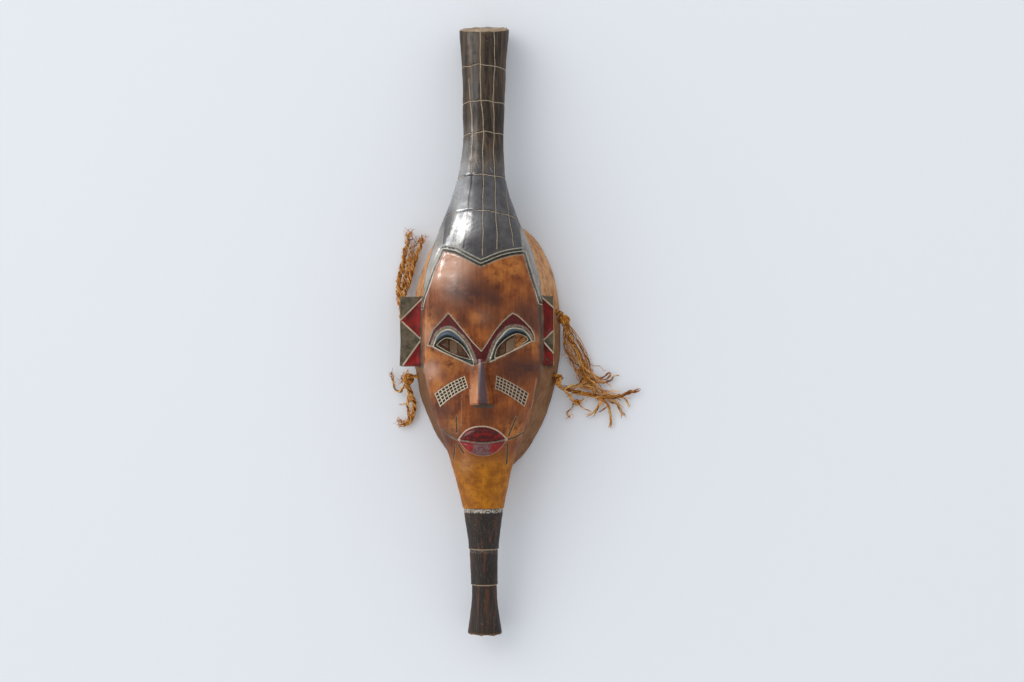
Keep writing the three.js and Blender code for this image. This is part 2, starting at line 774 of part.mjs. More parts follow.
// A knot: a lumpy ball about a middle point.
function knotForm([x, y, z], radius) {
  const loops = [];
  const steps = 5;
  for (let i = 0; i <= steps; i += 1) {
    const t = -0.97 + (1.94 * i) / steps;
    const full = radius * Math.sqrt(1 - t * t) * (i % 2 === 0 ? 0.94 : 1.04);
    const loop = [];
    for (let j = 0; j < 6; j += 1) {
      const turn = (2 * Math.PI * (j + i * 0.4)) / 6;
      loop.push([x + full * Math.cos(turn), y + t * radius, z + full * Math.sin(turn)]);
    }
    loops.push(loop);
  }
  return loft(loops);
}

// A strand that falls from the knot and runs along the ground through x, y points.
function strandForm(start, path, radius) {
  const ground = GROUND_GAP + radius * 1.05;
  const points = [start];
  path.forEach(([x, y], i) => {
    const fall = Math.max(1 - (i + 1) / 2, 0);
    points.push([x, y, ground + (start[2] - ground) * fall * 0.6]);
  });
  const last = points.length - 1;
  return tube(points, points.map((p, i) => radius * (1 - 0.45 * (i / last))), 4);
}

// A tie: a knot inside the wall, a stem through the hole, a knot outside and strands from that.
function tieForm({ hole, knot, knotHeight, strands }) {
  const place = ([out, along]) => [
    hole.side * (RIM_HALF_WIDTH + RAFFIA_REACH * out),
    hole.y + RAFFIA_REACH * along,
  ];
  const knotAt = [...place(knot), RAFFIA_REACH * knotHeight];
  const stemRadius = HOLE_RADIUS - HOLE_GAP;
  const inside = holePlace(hole, -19.5);
  const stem = tube([inside, holePlace(hole, 4.5), knotAt], [stemRadius, stemRadius, stemRadius], 5);
  let tie = stem.add(knotForm(inside, INSIDE_KNOT_RADIUS)).add(knotForm(knotAt, KNOT_RADIUS));
  strands.forEach((path) => {
    tie = tie.add(strandForm(knotAt, path.map(place), STRAND_RADIUS));
  });
  return tie;
}

function buildMask() {
  let body = headForm(0, LINE_CUT).add(beardForm()).add(shellForm());
  body = body.add(earForm(-1, EAR_LEFT_REACH)).add(earForm(1, EAR_RIGHT_REACH));
  [-1, 1].forEach((side) => {
    body = body.subtract(gridCuts(side));
  });
  carvedLines().forEach((cut) => {
    body = body.subtract(cut);
  });
  body = carveEyes(body);
  body = body.add(noseForm()).add(lipForm(1, UPPER_LIP)).add(lipForm(-1, LOWER_LIP));
  [-1, 1].forEach((side) => {
    body = body.add(hairBand(side));
  });
  body = body.subtract(hollowForm());
  Object.values(HOLES).forEach((hole) => {
    body = body.subtract(holeForm(hole));
  });
  return body;
}

function meshOf(solid, name, color) {
  const out = solid.getMesh();
  const geometry = new THREE.BufferGeometry();
  const positions = [];
  for (let i = 0; i < out.triVerts.length; i += 1) {
    const v = out.triVerts[i] * out.numProp;
    positions.push(out.vertProperties[v], out.vertProperties[v + 1], out.vertProperties[v + 2]);
  }
  geometry.setAttribute("position", new THREE.Float32BufferAttribute(positions, 3));
  geometry.computeVertexNormals();
  const mesh = new THREE.Mesh(geometry, new THREE.MeshStandardMaterial({ color, roughness: 0.6 }));
  mesh.name = name;
  return mesh;
}

const root = new THREE.Group();
root.add(meshOf(buildMask(), "carved_mask", 0x9a5a30));
TIES.forEach((tie) => {
  root.add(meshOf(tieForm(tie), tie.name, 0xa5702f));
});
export default root;
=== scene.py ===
"""A carved wooden mask with four raffia ties, lying on its back on a pale floor."""

import math

import bmesh
import bpy
import numpy as np
from mathutils import Matrix, Vector


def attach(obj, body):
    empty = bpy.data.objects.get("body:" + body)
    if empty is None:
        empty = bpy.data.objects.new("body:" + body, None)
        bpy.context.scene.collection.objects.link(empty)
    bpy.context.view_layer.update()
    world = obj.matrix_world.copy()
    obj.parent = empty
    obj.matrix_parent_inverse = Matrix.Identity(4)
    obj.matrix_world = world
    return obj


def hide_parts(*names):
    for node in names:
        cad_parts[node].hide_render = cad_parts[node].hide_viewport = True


MM = 0.001

# Floor, sky, lights and camera: places and sizes in metres, power in watts, colours as red, green, blue.
FLOOR_HALF = 4
FLOOR_COLOR = (0.8, 0.82, 0.85, 1)
FLOOR_ROUGHNESS = 0.8
SKY_COLOR = (0.93, 0.96, 1.0, 1)
SKY_BRIGHT_WAY = (-0.7, 0.5, 0.5)
SKY_LEAST = 0.74
SKY_MOST = 1.50
ZENITH_SHARE = 0.40
KEY = {"place": (-3.3, 2.3, 3.9), "aim": (0, -0.05, 0.04), "size": (4.0, 4.0), "power": 62,
       "color": (1.0, 0.97, 0.93)}
SHEEN = {"place": (-3.2, 2.5, 3.8), "aim": (0, -0.05, 0.04), "size": (2.1, 2.1), "power": 130,
         "color": (1.0, 0.98, 0.96)}
LOW_SHEEN = {"place": (-6.0, 2.9, 2.2), "aim": (0, -0.02, 0.06), "size": (3.0, 1.6), "power": 200,
             "color": (0.97, 0.98, 1.0)}
GLOW_POWER = 0.03
GLOW_COLOR = (1.0, 0.72, 0.48)
GLOW_SIZE = 0.01
GLOW_PLACE = (0, -0.15, 0.03)
CAMERA_PLACE = (0.09639813, -0.17615971, 1.37149895)
CAMERA_LEAN = math.radians(3.0)
CAMERA_LENS = 50
CAMERA_FILM = 36

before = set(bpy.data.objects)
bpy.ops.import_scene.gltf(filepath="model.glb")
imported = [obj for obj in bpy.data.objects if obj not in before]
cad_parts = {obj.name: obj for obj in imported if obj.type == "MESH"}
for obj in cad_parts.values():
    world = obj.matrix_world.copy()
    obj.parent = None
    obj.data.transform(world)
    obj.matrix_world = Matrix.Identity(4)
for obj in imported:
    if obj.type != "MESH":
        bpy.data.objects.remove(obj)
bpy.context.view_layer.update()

# Sizes of the mask, in millimetres, the same as the solids'.
HEADDRESS_LENGTH = 194.5
FACE_LENGTH = 262.0
BEARD_LENGTH = 119.0
HEADDRESS_END_HALF = 23.7
HEADDRESS_NECK_HALF = 19.3
HEADDRESS_BASE_HALF = 37.5
HEADDRESS_END_MIDDLE = 26.5
HEADDRESS_NECK_MIDDLE = 38.0
HEADDRESS_BASE_FRONT = 82.0
END_SLANT = 0.36
FACE_HALF_WIDTH = 56.0
FACE_EDGE_HEIGHT = 44.0
FOREHEAD_FRONT = 85.0
BROW_FRONT = 81.0
CHEEK_FRONT = 75.0
LIP_FRONT = 72.0
CHIN_FRONT = 61.0
CHIN_HALF_WIDTH = 19.0
FORM_SHIFT = -1.2
CHIN_SHIFT = -0.4
BASE_SHIFT = -2.2
HEADDRESS_SHIFT = -0.8
BEARD_JOINT_HALF = 14.5
BEARD_LOW_JOINT_HALF = 13.05
BEARD_WAIST_HALF = 13.6
BEARD_END_HALF = 17.75
BEARD_START_MIDDLE = 37.0
BEARD_END_MIDDLE = 22.5
BEARD_STEP = 0.5
RIM_HALF_WIDTH = 71.5
RIM_TOP = 13.0
RIM_WIDEST = 105.0
RIM_BOTTOM = 236.0
RIM_FLAT_EDGE = 5.0
EGG_TOP_POWER = 2.5
EGG_BOTTOM_POWER = 1.8
WALL_HEIGHT = 46.0
WALL_LEAN = 0.79
RIM_THICKNESS = 14.5
HOLLOW_TOP = 14.0
HOLLOW_BOTTOM = 217.0
HOLLOW_DEPTH = 57.0
EAR_TOP = 64.5
EAR_HEIGHT = 65.0
EAR_FRONT = 45.0
EAR_BACK = 23.0
EAR_LEFT_REACH = 79.0
EAR_RIGHT_REACH = 66.5
HOLE_RADIUS = 3.2
HOLE_UPPER_Y = 78.0
HOLE_LOWER_Y = 138.5
HOLE_HEIGHT = 16.5
HOLE_LEAN = 0.36
WALL_FACE = RIM_HALF_WIDTH * 0.955

# The beard's start and the headdress's end, along the mask from the headdress's base.
START = -FACE_LENGTH
L = HEADDRESS_LENGTH


# Small helpers.


def smooth(rows, at):
    """Smooth values between rows of (place, value), with no overshoot."""
    place = np.array([r[0] for r in rows], float)
    value = np.array([r[1] for r in rows], float)
    at = np.clip(np.asarray(at, float), place[0], place[-1])
    slope = np.diff(value) / np.diff(place)
    tangent = np.concatenate([[slope[0]], np.zeros(len(slope) - 1), [slope[-1]]])
    both = slope[:-1] * slope[1:] > 0
    mean = np.where(both, 2 * slope[:-1] * slope[1:] / np.where(both, slope[:-1] + slope[1:], 1), 0)
    tangent[1:-1] = mean
    i = np.clip(np.searchsorted(place, at, side="right") - 1, 0, len(slope) - 1)
    span = place[i + 1] - place[i]
    t = (at - place[i]) / span
    rise = t * t * (3 - 2 * t)
    lean = t * (1 - t) * span
    return (
        value[i] + (value[i + 1] - value[i]) * rise
        + lean * ((1 - t) * tangent[i] - t * tangent[i + 1])
    )


def step(edge0, edge1, x):
    """A smooth rise from 0 at one edge to 1 at the other."""
    t = np.clip((x - edge0) / (edge1 - edge0), 0, 1)
    return t * t * (3 - 2 * t)


def curve(points, each=8):
    """A smooth line through points, with a number of steps for each stretch."""
    p = np.array(points, float)
    n = len(p)
    out = []
    for i in range(n - 1):
        a, b, c, d = p[max(i - 1, 0)], p[i], p[i + 1], p[min(i + 2, n - 1)]
        for k in range(each):
            t = k / each
            out.append(
                0.5 * (2 * b + (c - a) * t + (2 * a - 5 * b + 4 * c - d) * t**2
                       + (3 * b - a - 3 * c + d) * t**3)
            )
    out.append(p[-1])
    return np.array(out)


def line_distance(x, y, path):
    """Distance from each x, y to a path of points."""
    path = np.asarray(path, float)
    best = np.full(x.shape, 1e9)
    for a, b in zip(path[:-1], path[1:]):
        run = b - a
        size = max(run @ run, 1e-9)
        t = np.clip(((x - a[0]) * run[0] + (y - a[1]) * run[1]) / size, 0, 1)
        d = np.hypot(x - a[0] - t * run[0], y - a[1] - t * run[1])
        best = np.minimum(best, d)
    return best


def inside_distance(x, y, outline):
    """Signed distance to a closed outline: negative inside it."""
    outline = np.asarray(outline, float)
    ring = np.vstack([outline, outline[:1]])
    away = line_distance(x, y, ring)
    inside = np.zeros(x.shape, bool)
    for a, b in zip(ring[:-1], ring[1:]):
        crosses = (a[1] > y) != (b[1] > y)
        slope = (b[0] - a[0]) / np.where(abs(b[1] - a[1]) < 1e-9, 1e-9, b[1] - a[1])
        inside ^= crosses & (x < a[0] + slope * (y - a[1]))
    return np.where(inside, -away, away)


def ring_distance(x, y):
    """Distance along the headdress to the nearest ring cut round it."""
    best = np.full(x.shape, 99.0)
    for path in RINGS:
        at = np.interp(x, [p[0] for p in path], [p[1] for p in path])
        at = at + 0.3 * np.sin(x / 2.7 + path[0][1])
        best = np.minimum(best, np.abs(y - at))
    return best


def waves(points, size, count=14, seed=1):
    """A smooth random value near -1 to 1 at each point; size is the length of its waves."""
    r = np.random.default_rng(seed)
    total = np.zeros(len(points))
    for _ in range(count):
        way = r.normal(size=3)
        way /= np.linalg.norm(way)
        total += np.sin(points @ (way * (2 * math.pi / size * r.uniform(0.6, 1.4))) + r.uniform(0, 6.28))
    return total / math.sqrt(count / 2)


# The front form: rows of (place along the mask, value) for each of its measures.

HEAD_ROWS = {
    "half": [
        (START, CHIN_HALF_WIDTH),
        (START * 0.93, CHIN_HALF_WIDTH * 1.22),
        (START * 0.82, CHIN_HALF_WIDTH * 1.61),
        (START * 0.69, FACE_HALF_WIDTH * 0.755),
        (START * 0.54, FACE_HALF_WIDTH * 0.94),
        (START * 0.45, FACE_HALF_WIDTH),
        (START * 0.3, FACE_HALF_WIDTH * 0.99),
        (START * 0.2, FACE_HALF_WIDTH * 0.954),
        (START * 0.11, FACE_HALF_WIDTH * 0.862),
        (0, HEADDRESS_BASE_HALF),
        (L * 0.075, HEADDRESS_BASE_HALF * 0.843),
        (L * 0.17, HEADDRESS_BASE_HALF * 0.68),
        (L * 0.27, HEADDRESS_NECK_HALF * 1.12),
        (L * 0.4, HEADDRESS_NECK_HALF),
        (L * 0.65, HEADDRESS_NECK_HALF * 1.03),
        (L, HEADDRESS_END_HALF),
    ],
    "edge": [
        (START, BEARD_START_MIDDLE),
        (START * 0.85, FACE_EDGE_HEIGHT - 3),
        (START * 0.6, FACE_EDGE_HEIGHT),
        (0, FACE_EDGE_HEIGHT + 3),
        (L * 0.2, FACE_EDGE_HEIGHT + 1),
        (L * 0.4, HEADDRESS_NECK_MIDDLE),
        (L, HEADDRESS_END_MIDDLE),
    ],
    "front": [
        (START, BEARD_START_MIDDLE + CHIN_HALF_WIDTH),
        (START * 0.93, CHIN_FRONT - 3.5),
        (START * 0.86, CHIN_FRONT),
        (START * 0.77, LIP_FRONT),
        (START * 0.68, LIP_FRONT + 1),
        (START * 0.52, CHEEK_FRONT),
        (START * 0.4, BROW_FRONT - 2),
        (START * 0.32, BROW_FRONT + 2),
        (START * 0.2, FOREHEAD_FRONT),
        (START * 0.1, FOREHEAD_FRONT + 0.4),
        (0, HEADDRESS_BASE_FRONT),
        (L * 0.15, HEADDRESS_BASE_FRONT * 0.88),
        (L * 0.4, HEADDRESS_NECK_MIDDLE + HEADDRESS_NECK_HALF),
        (L, HEADDRESS_END_MIDDLE + HEADDRESS_END_HALF),
    ],
    "back": [
        (START, BEARD_START_MIDDLE - CHIN_HALF_WIDTH),
        (START * 0.85, RIM_FLAT_EDGE + 4),
        (START * 0.4, RIM_FLAT_EDGE),
        (0, RIM_FLAT_EDGE),
        (L * 0.1, RIM_FLAT_EDGE + 3),
        (L * 0.4, HEADDRESS_NECK_MIDDLE - HEADDRESS_NECK_HALF),
        (L, HEADDRESS_END_MIDDLE - HEADDRESS_END_HALF),
    ],
    "shift": [
        (START, CHIN_SHIFT),
        (START * 0.7, FORM_SHIFT),
        (START * 0.15, FORM_SHIFT),
        (L * 0.08, BASE_SHIFT),
        (L * 0.4, HEADDRESS_SHIFT),
    ],
    "round": [(START, 2), (START * 0.6, 2.25), (START * 0.2, 2.3), (L * 0.3, 2)],
}

# Shares of the beard's length: where its joints are, then rows of (share, half width).
BEARD_JOINTS = (0.0, 0.325, 0.607)
BEARD_ROWS = [
    (0, CHIN_HALF_WIDTH),
    (0.034, CHIN_HALF_WIDTH * 0.965),
    (BEARD_JOINTS[1], BEARD_JOINT_HALF),
    (BEARD_JOINTS[2], BEARD_LOW_JOINT_HALF),
    (0.75, BEARD_WAIST_HALF),
    (1, BEARD_END_HALF),
]
END_SHIFT = 0.2


def form_at(y):
    """Half width, edge height, front, back, roundness and sideways shift at places along the mask."""
    y = np.asarray(y, float)
    out = {name: smooth(rows, y) for name, rows in HEAD_ROWS.items()}
    at = np.clip((START - y) / BEARD_LENGTH, 0, 1)
    beard = y < START
    half = smooth(BEARD_ROWS, at)
    for joint in BEARD_JOINTS:
        half = half - BEARD_STEP * step(joint, joint + 0.004, at)
    middle = BEARD_START_MIDDLE + (BEARD_END_MIDDLE - BEARD_START_MIDDLE) * at**1.3
    out["half"] = np.where(beard, half, out["half"])
    out["edge"] = np.where(beard, middle, out["edge"])
    out["front"] = np.where(beard, middle + half, out["front"])
    out["back"] = np.where(beard, middle - half, out["back"])
    out["shift"] = np.where(beard, CHIN_SHIFT * (1 - at) + END_SHIFT * at, out["shift"])
    return out


def form_point(y, turn):
    """Points on the plain front form, before any carving."""
    f = form_at(y)
    across, up = np.cos(turn), np.sin(turn)
    power = 2 / f["round"]
    height = np.where(up > 0, f["front"] - f["edge"], f["edge"] - f["back"])
    x = f["shift"] + np.sign(across) * f["half"] * np.abs(across) ** power
    z = f["edge"] + np.sign(up) * height * np.abs(up) ** power
    return np.stack([x, np.broadcast_to(y, x.shape), z], -1)


def form_normal(y, turn):
    """The way out of the plain front form at its points."""
    e_y, e_t = 0.2, 0.004
    along = form_point(y + e_y, turn) - form_point(y - e_y, turn)
    around = form_point(y, turn + e_t) - form_point(y, turn - e_t)
    n = np.cross(around, along)
    n /= np.linalg.norm(n, axis=-1, keepdims=True) + 1e-12
    middle = form_point(y, turn)
    f = form_at(y)
    out = middle - np.stack([f["shift"], middle[..., 1], f["edge"]], -1)
    flip = np.sign((n * out).sum(-1, keepdims=True))
    return n * np.where(flip == 0, 1, flip)


# Outlines of the carved features, in millimetres on the face.

HAIR_GROOVES = (1.0, 4.0)
BROW = {
    -1: [(-50.3, -111.1), (-44.7, -97.6), (-40.0, -93.2), (-29.5, -82.8), (-23.0, -90.3),
         (-16.0, -98.7), (-7.3, -109.5), (0.6, -117.8)],
    1: [(0.6, -117.8), (5.6, -110.6), (13.3, -98.8), (20.4, -90.5), (29.1, -82.8), (34.3, -85.4),
        (41.1, -91.6), (46.0, -96.9), (48.3, -102.5), (49.0, -107.5)],
}
LID = {
    -1: [(-44.6, -112.2), (-40.9, -103.1), (-35.3, -98.6), (-29.0, -97.4), (-22.6, -101.2),
         (-16.2, -107.6), (-11.8, -114.4), (-6.9, -127.0)],
    1: [(8.6, -124.2), (13.4, -111.2), (18.3, -104.4), (24.6, -97.8), (30.6, -96.2),
        (37.8, -97.4), (42.6, -101.6), (45.8, -107.1)],
}
LENS_TOP = {
    -1: [(-41.3, -111.3), (-36.5, -107.2), (-30.6, -105.3), (-22.4, -108.8), (-16.4, -114.3),
         (-9.7, -124.8)],
    1: [(12.6, -123.6), (15.2, -114.7), (21.5, -107.7), (28.9, -102.8), (34.1, -101.7),
        (40.4, -103.7), (42.4, -106.5)],
}
LENS_BOTTOM = {
    -1: [(-19.9, -121.9), (-30.5, -117.6)],
    1: [(34.1, -113.2), (27.1, -117.5), (20.2, -120.9)],
}
LOWER = {
    -1: [(-6.9, -130.8), (-30.5, -120.0), (-37.8, -116.6), (-45.2, -112.6)],
    1: [(46.0, -107.6), (34.2, -114.4), (8.0, -127.4)],
}
# From where to where across each eye its window is cut.
WINDOW = {-1: (-30.7, -21.9), 1: (21.9, 30.7)}
NOSE_X = 1.2
# The nose's two ends along the face, and the heights of its ridge at each.
NOSE_TOP, NOSE_BOTTOM = 124.0, 165.5
NOSE_START, NOSE_TIP = 79.0, 92.0
# Corners of the cheek grids: inner top, inner bottom, outer bottom, outer top.
GRID = {
    -1: [(-15.2, -140.6), (-12.2, -150.4), (-38.4, -167.6), (-43.4, -156.2)],
    1: [(14.4, -140.3), (13.2, -151.2), (39.2, -167.4), (42.7, -156.0)],
}
GRID_BOW = 1.8
GRID_ROWS, GRID_COLUMNS = 4, 9
MOUTH_LEFT, MOUTH_RIGHT = (-21.2, -198.4), (23.4, -198.0)
UPPER_TOP = [MOUTH_LEFT, (-15.0, -191.0), (-7.5, -187.2), (1.2, -186.2), (9.5, -187.6),
             (17.0, -191.6), MOUTH_RIGHT]
PARTING = [MOUTH_LEFT, (-12.0, -200.0), (1.1, -201.2), (14.0, -200.2), MOUTH_RIGHT]
LOWER_BOTTOM = [MOUTH_LEFT, (-14.0, -207.2), (-6.0, -211.6), (1.0, -213.0), (8.5, -211.8),
                (16.5, -207.0), MOUTH_RIGHT]
STROKES = [
    [(-36.0, -189.5), (-29.0, -195.2), (-22.4, -198.0)],
    [(-22.9, -177.1), (-22.6, -191.8)],
    [(-24.7, -203.6), (-26.7, -216.1)],
    [(-21.1, -202.9), (-16.1, -210.9)],
    [(23.6, -198.4), (31.0, -196.0), (38.5, -191.3)],
    [(31.9, -177.7), (24.7, -194.9)],
    [(23.9, -202.3), (22.4, -220.8)],
]
# The hairline, and how far out from the middle its headdress side is closed.
HAIR_PATH = [(-56.5, -76.0), (-52.9, -65.8), (-50.0, -60.0), (-46.5, -51.0), (-42.3, -40.3), (-34.3, -25.4),
             (-23.4, -28.1), (-12.5, -33.8), (0.0, -40.4), (6.7, -37.9), (12.5, -35.2), (19.1, -32.6),
             (26.8, -30.2), (39.0, -27.4), (43.4, -41.9), (46.5, -52.1), (49.6, -61.5), (52.6, -72.0)]
HAIR_SIDE = 62
# Lines cut round the headdress.
RINGS = [
    [(-24, 45.6), (-21.3, 46.1), (-10, 47.3), (0.5, 47.2), (11.2, 46.3), (19.2, 46.1), (23, 45.8)],
    [(-40, 5.0), (-33, 7.6), (-25.6, 10.6), (-13.3, 12.2), (1.7, 11.8), (14.7, 10.0), (27.5, 7.7),
     (38, 4.0)],
    [(-20, 88.0), (-17.3, 88.1), (-6.7, 88.4), (1.0, 89.7), (10.1, 88.6), (17.2, 89.4), (19, 89.4)],
    [(-20, 119.2), (-18.4, 119.1), (-6.9, 118.8), (-3.4, 119.5), (9.9, 118.1), (17.1, 119.0), (19, 119.2)],
    [(-21, 155.0), (-19.5, 154.9), (-12.2, 153.2), (-3.6, 154.6), (1.5, 153.5), (9.8, 152.6),
     (22.1, 153.2)],
]


def hair_distance(x, y, top):
    """Distance into the headdress from the hairline, up to a top beyond which it is all headdress."""
    outline = HAIR_PATH + [(HAIR_SIDE, HAIR_PATH[-1][1]), (HAIR_SIDE, top)]
    outline += [(-HAIR_SIDE, top), (-HAIR_SIDE, HAIR_PATH[0][1])]
    return -inside_distance(x, y, outline)


def socket_outline(side):
    """The hollow under a brow; side is -1 on the left and 1 on the right."""
    brow = BROW[side]
    lower = LOWER[side]
    if side < 0:
        return np.array(brow + [(5.0, -122.0), (6.5, -126.4)] + lower)
    return np.array(brow + lower + [(-5.0, -127.0), (-4.0, -122.0)])


def eye_outline(side):
    """The painted lids, above and below the slit."""
    return np.vstack([curve(LID[side]), curve(LOWER[side], 4)])


def lens_outline(side):
    """The slit between the lids."""
    return np.vstack([curve(LENS_TOP[side]), curve(LENS_BOTTOM[side], 3)])


def mouth_outlines():
    """The upper lip and the lower lip, which meet at the parting."""
    upper = np.vstack([curve(UPPER_TOP), curve(PARTING)[::-1]])
    lower = np.vstack([curve(PARTING), curve(LOWER_BOTTOM)[::-1]])
    return upper, lower


def grid_place(x, y, side):
    """Place within a cheek grid: 0 to 1 along its columns and across its rows."""
    a, b, c, d = (np.array(p) for p in GRID[side])
    s = np.full(x.shape, 0.5)
    w = np.full(x.shape, 0.5)
    for _ in range(6):
        bow = GRID_BOW * 4 * s * (1 - s) * 0.7
        top = a[:, None] * (1 - s) + d[:, None] * s
        low = b[:, None] * (1 - s) + c[:, None] * s
        here = low + (top - low) * w
        off_x, off_y = x - here[0], y - here[1] - bow
        along = (d - a)[:, None] * w + (c - b)[:, None] * (1 - w)
        up = top - low
        turn = along[0] * up[1] - along[1] * up[0]
        s = np.clip(s + (off_x * up[1] - off_y * up[0]) / turn, -0.6, 1.6)
        w = np.clip(w + (along[0] * off_y - along[1] * off_x) / turn, -1.5, 2.5)
    return s, w


def face_fields(x, y):
    """Distances to every carved outline at x, y places on the face."""
    out = {}
    out["brow"] = np.minimum(*(inside_distance(x, y, socket_outline(s)) for s in (-1, 1)))
    out["eye"] = np.minimum(*(inside_distance(x, y, eye_outline(s)) for s in (-1, 1)))
    out["lens"] = np.minimum(*(inside_distance(x, y, lens_outline(s)) for s in (-1, 1)))
    upper, lower = mouth_outlines()
    out["lip_up"] = inside_distance(x, y, upper)
    out["lip_low"] = inside_distance(x, y, lower)
    stroke = np.full(x.shape, 1e3)
    for path in STROKES:
        stroke = np.minimum(stroke, line_distance(x, y, path))
    out["stroke"] = stroke
    left = grid_place(x, y, -1)
    right = grid_place(x, y, 1)
    out["grid_s"] = np.where(x < 0, left[0], right[0])
    out["grid_w"] = np.where(x < 0, left[1], right[1])
    return out


def nose_height(x, y):
    """Height of the nose's surface above the ground at x, y."""
    at = -y
    u = np.clip((at - NOSE_TOP) / (NOSE_BOTTOM - NOSE_TOP), 0, 1)
    wing = 5.6 + 5.4 * step(0.1, 0.95, u)
    ridge = 3.3 + 0.7 * u
    base_front = smooth(HEAD_ROWS["front"], y)
    top = NOSE_START + (NOSE_TIP - NOSE_START) * (0.12 * u + 0.88 * u**1.15) - 1.2 * step(0.9, 1, u)
    base = base_front - 1.6
    across = np.abs(x - NOSE_X)
    slope = np.clip((wing - across) / (wing - ridge), 0, 1.0)
    bulge = slope + 0.13 * np.sin(math.pi * slope)
    round_top = -0.5 * np.clip(across / ridge, 0, 1) ** 2
    height = base + (top - base) * np.clip(bulge, 0, 1) + round_top
    end = np.clip((NOSE_BOTTOM + 0.9 - at) / 1.3, 0, 1)
    begin = np.clip((at - (NOSE_TOP - 1.2)) / 1.6, 0, 1)
    height = base_front - 6 + (height - base_front + 6) * np.minimum(end, begin)
    return np.where((across < wing + 0.01) & (at > NOSE_TOP - 2) & (at < NOSE_BOTTOM + 1.2), height, -99)


def carve(point, turn):
    """How far the carving lifts or sinks each point of the front form."""
    x, y = point[:, 0], point[:, 1]
    lift = np.zeros(len(x))
    front = (np.sin(turn) > 0.02) & (y < -60) & (y > -235)
    fx, fy = x[front], y[front]
    f = face_fields(fx, fy)
    d = np.zeros(fx.shape)
    socket = step(0.25, -0.55, f["brow"])
    deeper = step(-1.5, -7.0, f["brow"])
    d -= 1.5 * socket + 0.9 * deeper * socket
    d += 0.35 * np.exp(-((f["brow"] - 0.55) / 0.7) ** 2)
    eye = step(0.2, -0.5, f["eye"])
    band = np.clip(f["lens"], 0, 7)
    roll = np.sin(math.pi * np.clip(band / 6.2, 0, 1)) ** 0.8
    d += eye * (1.9 * roll * step(0.6, 3.0, band)) - 0.5 * np.exp(-((f["eye"] + 0.1) / 0.5) ** 2)
    d -= 0.9 * np.exp(-((f["lens"] - 0.95) / 0.45) ** 2) * eye
    d -= eye * (2.4 * step(0.2, -1.3, f["lens"]) + 0.8 * step(-1.3, -5, f["lens"]))
    up = np.clip(-f["lip_up"], 0, 9)
    low = np.clip(-f["lip_low"], 0, 9)
    d += 3.6 * (1 - np.exp(-up / 1.7)) * (up > 0) + 3.9 * (1 - np.exp(-low / 1.9)) * (low > 0)
    parting = line_distance(fx, fy, curve(PARTING))
    d -= 1.7 * np.exp(-((parting / 0.75) ** 2)) * step(23.5, 19, np.abs(fx - 1.1))
    d -= 0.8 * step(1.0, 0.1, f["stroke"])
    s, w = f["grid_s"], f["grid_w"]
    in_grid = (s > -0.02) & (s < 1.02) & (w > -0.04) & (w < 1.04)
    cell_s = np.abs(s * GRID_COLUMNS - np.round(s * GRID_COLUMNS)) * 3.4
    cell_w = np.abs(w * GRID_ROWS - np.round(w * GRID_ROWS)) * 3.0
    d -= 0.6 * in_grid * step(0.35, 0.75, np.minimum(cell_s, cell_w))
    lift[front] = d
    # Rings cut round the headdress, and the ledges of the beard's joints.
    lift -= np.where(y > -2, 0.3 * step(1.0, 0.1, ring_distance(x, y)), 0)
    at = (START - y) / BEARD_LENGTH
    for joint in BEARD_JOINTS:
        lift += 0.25 * np.exp(-(((at - joint + 0.006) / 0.006) ** 2))
        lift -= 0.25 * np.exp(-(((at - joint - 0.008) / 0.005) ** 2))
    # Hairline: a step up to the headdress, with grooves.
    near = (np.sin(turn) > 0) & (y < 62) & (y > -78)
    hx, hy = x[near], y[near]
    hair = hair_distance(hx, hy, 90)
    h = 0.7 * step(-0.3, 0.6, hair) * step(60, 12, hy)
    for groove in HAIR_GROOVES:
        h -= 0.6 * np.exp(-(((hair - groove) / 0.75) ** 2))
    h -= 0.5 * np.exp(-(((hair + 0.6) / 0.5) ** 2))
    lift[near] += h
    # Hand-carved unevenness and facets.
    lift += 0.22 * waves(point, 46, seed=3) + 0.08 * waves(point, 13, seed=4)
    lift += 0.03 * waves(point, 4.5, seed=5)
    return lift


# Building meshes.


def spread(*stretches):
    """Values along joined stretches, each (from, to, spacing)."""
    out = []
    for a, b, gap in stretches:
        n = max(int(round(abs(b - a) / gap)), 1)
        out.append(np.linspace(a, b, n, endpoint=False))
    out.append([stretches[-1][1]])
    return np.concatenate(out)


def ring_turns(upper, lower):
    """Angles round a section: dense over its front, sparser under it."""
    a = np.linspace(0, math.pi, upper, endpoint=False)
    b = np.linspace(math.pi, 2 * math.pi, lower, endpoint=False)
    return np.concatenate([a, b])


def stitch(a_start, a_turns, b_start, b_turns):
    """Triangles between two rings of different counts."""
    faces = []
    n, m = len(a_turns), len(b_turns)
    i = j = 0
    at = list(a_turns) + [2 * math.pi]
    bt = list(b_turns) + [2 * math.pi]
    while i < n or j < m:
        if j >= m or (i < n and at[i + 1] <= bt[j + 1]):
            faces.append((a_start + i % n, a_start + (i + 1) % n, b_start + j % m))
            i += 1
        else:
            faces.append((a_start + i % n, b_start + (j + 1) % m, b_start + j % m))
            j += 1
    return faces


